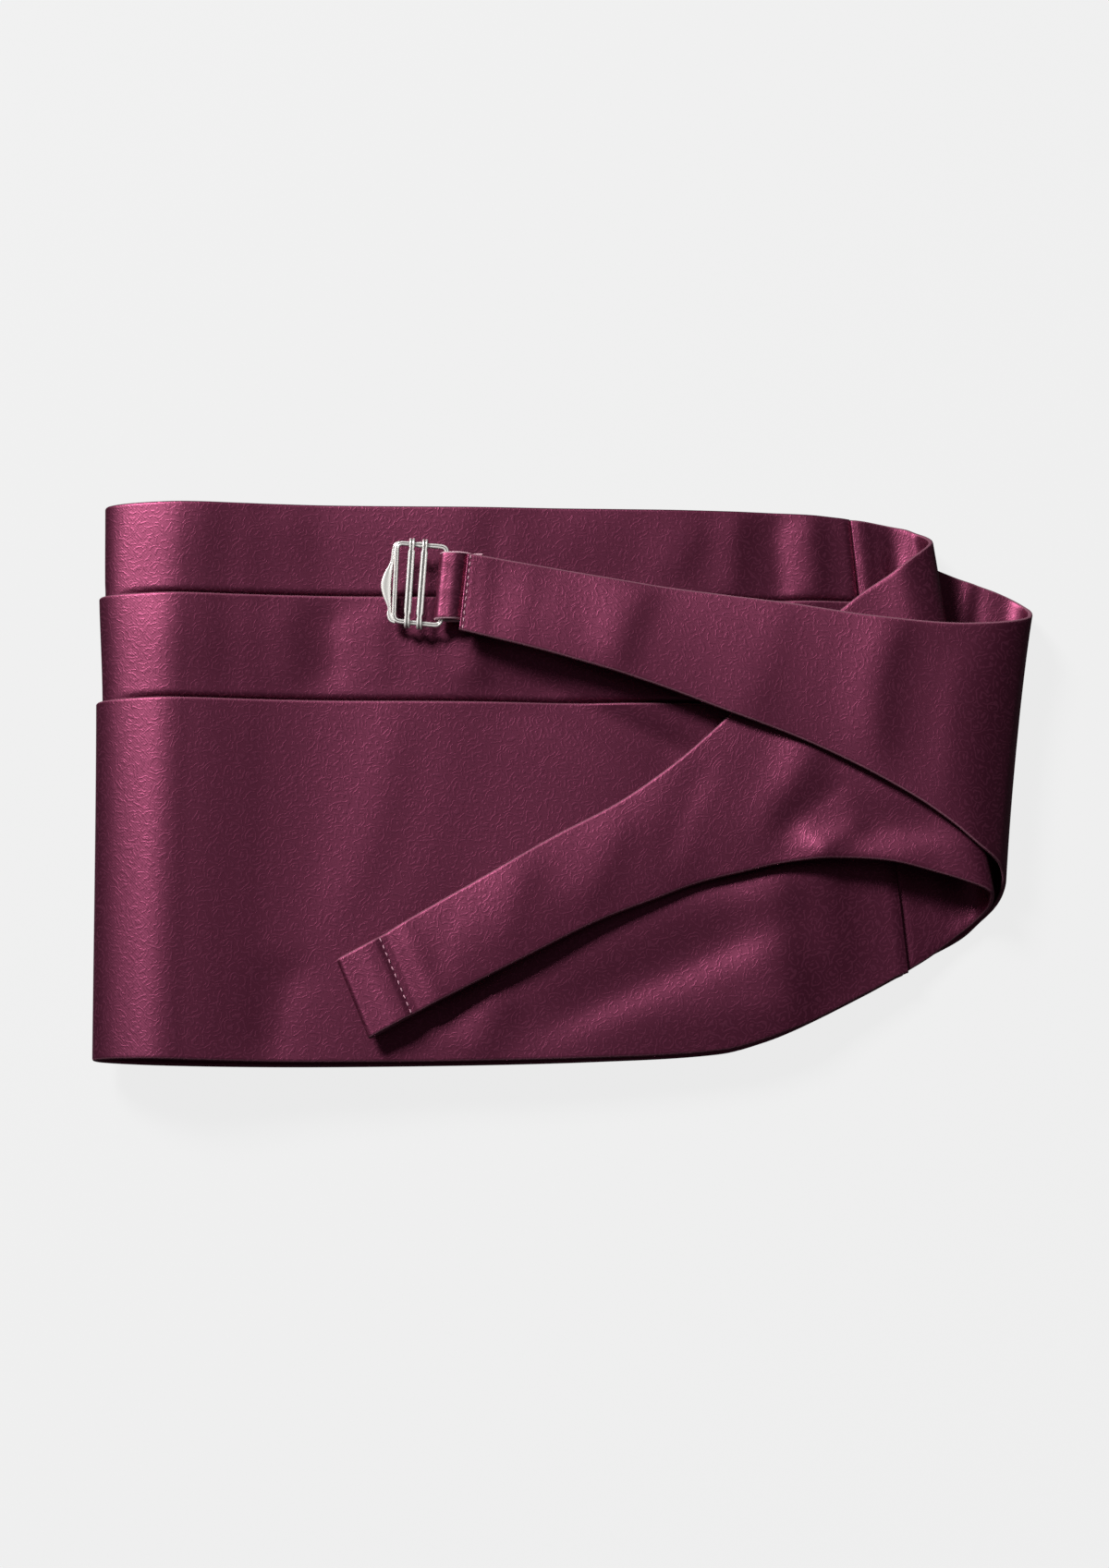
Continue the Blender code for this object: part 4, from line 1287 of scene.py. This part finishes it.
class CummerbundSlider(bpy.types.PropertyGroup):
    """Sizes and finish of the metal slider."""

    wire: size_setting("Frame wire", "Width of the wire of the slider's frame", 0.00118, 0.001, 0.0016)
    bar: size_setting("Cross bar", "Width of each cross bar", 0.00165, 0.001, 0.002)
    lug: size_setting(
        "Lug length", "Length of each end of a cross bar that clasps the frame", 0.0042, 0.002, 0.006,
    )
    groove: size_setting("Groove", "Depth of the groove along each wire and bar", 0.00034, 0.0, 0.0004)
    metal: colour_setting("Metal colour", "Colour of the plated metal", (0.95, 0.92, 0.88))
    # The painted shade colour is laid into the grooves, the lower flanks and under the tab as painted shade
    painted_shade_colour: colour_setting(
        "Painted shade colour", "Colour of the metal in its grooves and underneath", (0.035, 0.028, 0.025),
    )
    metal_share: share_setting(
        "Mirror", "Share of the metal's light that is mirrored and not scattered", 0.60,
    )
    metal_roughness: share_setting("Roughness", "Roughness of the plated metal", 0.24, 1.0, 0.02)


class CummerbundStitching(bpy.types.PropertyGroup):
    """Sizes and colour of the stitches."""

    pitch: size_setting("Pitch", "Distance from one stitch to the next", 0.00166, 0.0008, 0.005)
    length: size_setting(
        "Stitch length", "Length of thread that shows in each stitch", 0.00112, 0.0004, 0.004,
    )
    thread: size_setting("Thread", "Thickness of the thread", 0.00034, 0.0001, 0.001)
    waver: FloatProperty(
        name="Waver", description="How far each stitch turns from its row", default=0.14, min=0.0, max=0.6,
        subtype="ANGLE", unit="ROTATION",
    )
    colour: colour_setting("Thread colour", "Colour of the thread", (0.70, 0.36, 0.46))


class CummerbundStage(bpy.types.PropertyGroup):
    """Floor, light and camera."""

    distance: size_setting(
        "Camera distance", "Distance of the camera from the middle of the cummerbund", 0.8, 0.3, 5.0,
    )
    elevation: FloatProperty(
        name="Camera elevation", description="Height of the camera above the horizon, as an angle",
        default=math.radians(80.0), min=0.1, max=math.pi / 2, subtype="ANGLE", unit="ROTATION",
    )
    floor: colour_setting("Floor colour", "Colour of the floor", (0.05, 0.05, 0.05))
    floor_glow: share_setting(
        "Floor glow", "Light that the floor gives by itself, as over a light table", 0.82,
    )
    sky: FloatProperty(
        name="Room light", description="Strength of the even light of the room", default=0.045, min=0.0,
        max=3.0,
    )
    key: FloatProperty(
        name="Key light", description="Power of the soft light above and to the left", default=72.0, min=0.0,
        max=500.0, unit="POWER",
    )
    softbox: FloatProperty(
        name="Softbox", description="Power of the wide light overhead that only the metal mirrors",
        default=14.0, min=0.0, max=100.0, unit="POWER",
    )


class CUMMERBUND_OT_panel(bpy.types.Operator):
    """Build the pleated panel's three tiers"""

    bl_idname = "cummerbund.panel"
    bl_label = "Pleated Panel"

    def execute(self, context):
        look = context.scene.cummerbund_cloth
        surface = satin("burgundy_satin", look)
        for tier, name in enumerate(("tier_top", "tier_middle", "tier_lower")):
            outer, inner = tier_faces(tier, look.wall / MM, look.step / MM, look.crease_depth)
            lay_cloth(name, outer, inner, surface)
        return {"FINISHED"}


class CUMMERBUND_OT_straps(bpy.types.Operator):
    """Build both back straps, rolled over at the right and laid back across the front"""

    bl_idname = "cummerbund.straps"
    bl_label = "Back Straps"

    def execute(self, context):
        look = context.scene.cummerbund_cloth
        surface = bpy.data.materials["burgundy_satin"]
        for name, strap in straps().items():
            outer, inner = strap_faces(strap, look.wall / MM, look.step / MM, look.crease_depth)
            lay_cloth(name, outer, inner, surface)
        return {"FINISHED"}


class CUMMERBUND_OT_loop(bpy.types.Operator):
    """Build the cloth loop that holds the slider"""

    bl_idname = "cummerbund.loop"
    bl_label = "Slider Loop"

    def execute(self, context):
        look = context.scene.cummerbund_cloth
        outer, inner = loop_faces(
            min(look.wall / MM, LOOP_WALL), look.step / MM, context.scene.cummerbund_slider.wire / MM
        )
        lay_cloth("slider_loop", outer, inner, bpy.data.materials["burgundy_satin"])
        return {"FINISHED"}


class CUMMERBUND_OT_slider(bpy.types.Operator):
    """Build the metal slider: its wire frame, crescent tab and two cross bars"""

    bl_idname = "cummerbund.slider"
    bl_label = "Metal Slider"

    def execute(self, context):
        look = context.scene.cummerbund_slider
        surface = polished_metal("polished_nickel", look)
        across = {
            "frame": lambda forward: np.cross((0.0, 0.0, 1.0), forward),
            "bar": lambda forward: np.array([1.0, 0.0, 0.0]) - forward * forward[:, :1],
        }
        wire, painted_shade = grooved_profile(look.wire / MM, 1.0, look.groove / MM * WIRE_GROOVE_SHARE)
        path = np.array(rounded_path(FRAME_CORNERS, FRAME_CORNER, SLIDER_HEIGHT))
        near_bead = np.hypot(path[:, 0] - WELD_BEAD[0], path[:, 1] - WELD_BEAD[1]) / BEAD_HALF_LENGTH
        widths = 1.0 + BEAD_SWELL * np.exp(-near_bead**2)
        points, faces = sweep(path, wire, widths, across["frame"], closed=True)
        frame_piece = add_piece("slider_frame_wire", points, faces, surface, painted_shade)
        points, faces, painted_shade = tab_mesh()
        tab = add_piece("slider_tab", points, faces, surface, painted_shade)
        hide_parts("slider_frame")
        pieces = [frame_piece, tab]
        bar, painted_shade = grooved_profile(look.bar / MM, BAR_DEPTH / (look.bar / MM), look.groove / MM)
        for name, (upper_x, lower_x) in zip(("slider_bar_left", "slider_bar_right"), CROSS_BARS):
            path = bar_path(upper_x, lower_x, look.wire / MM)
            points, faces = sweep(path, bar, bar_widths(path, look.lug / MM), across["bar"], closed=False)
            piece = add_piece(name + "_strip", points, faces, surface, painted_shade)
            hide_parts(name)
            pieces.append(piece)
        for piece in pieces:
            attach(piece, "root")
        return {"FINISHED"}


class CUMMERBUND_OT_stitching(bpy.types.Operator):
    """Sew the rows of stitches on both back straps"""

    bl_idname = "cummerbund.stitching"
    bl_label = "Stitching"

    def execute(self, context):
        look = context.scene.cummerbund_stitching
        wall = context.scene.cummerbund_cloth.wall / MM
        depth = context.scene.cummerbund_cloth.crease_depth
        surface = thread("pale_thread", look.colour)
        tree = stitch_tree()
        for name, strap in straps().items():
            v = np.linspace(*STITCH_SPAN, 40)
            s = np.full_like(v, strap["stitches"])
            middle, normal = strap_points(strap, s, v, depth)
            line = middle + normal * (wall / 2 + STITCH_RISE)
            row = stitch_row(name + "_stitches", line, look, surface, tree)
            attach(row, "root")
        return {"FINISHED"}


class CUMMERBUND_OT_stage(bpy.types.Operator):
    """Lay out the pale floor, the soft lights and the camera"""

    bl_idname = "cummerbund.stage"
    bl_label = "Stage"

    def execute(self, context):
        look = context.scene.cummerbund_stage
        scene = context.scene
        scene.view_settings.view_transform = "Standard"
        world = bpy.data.worlds.new("pale_room")
        world.use_nodes = True
        world.node_tree.nodes["Background"].inputs["Color"].default_value = (1.0, 1.0, 1.0, 1.0)
        world.node_tree.nodes["Background"].inputs["Strength"].default_value = look.sky
        scene.world = world
        self.floor(pale_floor("pale_floor", look))
        self.light("key_light", KEY_PLACE, KEY_SIZE, look.key)
        softbox = self.light("slider_softbox", SOFTBOX_PLACE, SOFTBOX_SIZE, look.softbox)
        polished = bpy.data.collections.new("slider_pieces")
        for piece in scene.objects:
            if piece.name.startswith("slider_") and "loop" not in piece.name and piece.type == "MESH":
                polished.objects.link(piece)
        softbox.light_linking.receiver_collection = polished
        camera = bpy.data.cameras.new("photo_camera")
        camera.sensor_fit = "AUTO"
        camera.sensor_width = SENSOR
        camera.lens = SENSOR / 2 / math.tan(CAMERA_FIELD / 2)
        holder = placed("photo_camera", camera)
        back = Vector((0.0, -math.cos(look.elevation), math.sin(look.elevation)))
        holder.location = Vector(CAMERA_AIM) + back * look.distance
        holder.rotation_euler = (math.pi / 2 - look.elevation, 0.0, 0.0)
        scene.camera = holder
        return {"FINISHED"}

    @staticmethod
    def floor(surface):
        """A flat round floor, and the backdrop that rises smoothly from its rim."""
        size = RING_STEPS
        turns = np.linspace(0.0, math.tau, size, endpoint=False)
        rings = [(r * math.cos(a), r * math.sin(a), z) for r, z in BACKDROP_PROFILE for a in turns]
        sides = []
        for low in range(0, (len(BACKDROP_PROFILE) - 1) * size, size):
            high = low + size
            sides += [(low + j, high + j, high + (j + 1) % size, low + (j + 1) % size) for j in range(size)]
        for name, points, faces in (
            ("floor", rings[:size], [tuple(range(size))]),
            ("backdrop", rings, sides),
        ):
            mesh = bpy.data.meshes.new(name)
            mesh.from_pydata(points, [], faces)
            if name == "backdrop":
                mesh.shade_smooth()
            mesh.materials.append(surface)
            piece = placed(name, mesh)
            piece.visible_diffuse = False
            piece.visible_glossy = False
            piece.visible_shadow = name == "floor"

    @staticmethod
    def light(name, place, size, power):
        """A soft rectangular light that faces the cummerbund."""
        lamp = bpy.data.lights.new(name, "AREA")
        lamp.shape = "RECTANGLE"
        lamp.size, lamp.size_y = size
        lamp.energy = power
        holder = placed(name, lamp)
        holder.location = place
        holder.rotation_euler = (-Vector(place)).to_track_quat("-Z", "Y").to_euler()
        return holder


class CUMMERBUND_PT_sidebar(bpy.types.Panel):
    """Lists the cummerbund's pieces and their sizes"""

    bl_label = "Cummerbund"
    bl_idname = "CUMMERBUND_PT_sidebar"
    bl_space_type = "VIEW_3D"
    bl_region_type = "UI"
    bl_category = "Cummerbund"

    def draw(self, context):
        for group, operators in (
            (context.scene.cummerbund_cloth, STEPS[:3]),
            (context.scene.cummerbund_slider, STEPS[3:4]),
            (context.scene.cummerbund_stitching, STEPS[4:5]),
            (context.scene.cummerbund_stage, STEPS[5:]),
        ):
            box = self.layout.box()
            for name in group.bl_rna.properties.keys():
                if name not in ("rna_type", "name"):
                    box.prop(group, name)
            for operator in operators:
                box.operator(operator)


STEPS = (
    "cummerbund.panel",
    "cummerbund.straps",
    "cummerbund.loop",
    "cummerbund.slider",
    "cummerbund.stitching",
    "cummerbund.stage",
)
GROUPS = {
    "cummerbund_cloth": CummerbundCloth,
    "cummerbund_slider": CummerbundSlider,
    "cummerbund_stitching": CummerbundStitching,
    "cummerbund_stage": CummerbundStage,
}
CLASSES = (
    *GROUPS.values(),
    CUMMERBUND_OT_panel,
    CUMMERBUND_OT_straps,
    CUMMERBUND_OT_loop,
    CUMMERBUND_OT_slider,
    CUMMERBUND_OT_stitching,
    CUMMERBUND_OT_stage,
    CUMMERBUND_PT_sidebar,
)


def register():
    for made in CLASSES:
        bpy.utils.register_class(made)
    for name, group in GROUPS.items():
        setattr(bpy.types.Scene, name, PointerProperty(type=group))


def unregister():
    for name in GROUPS:
        delattr(bpy.types.Scene, name)
    for made in reversed(CLASSES):
        bpy.utils.unregister_class(made)


def main():
    register()
    for step in STEPS:
        category, operator = step.split(".")
        getattr(getattr(bpy.ops, category), operator)()


if __name__ == "__main__":
    main()
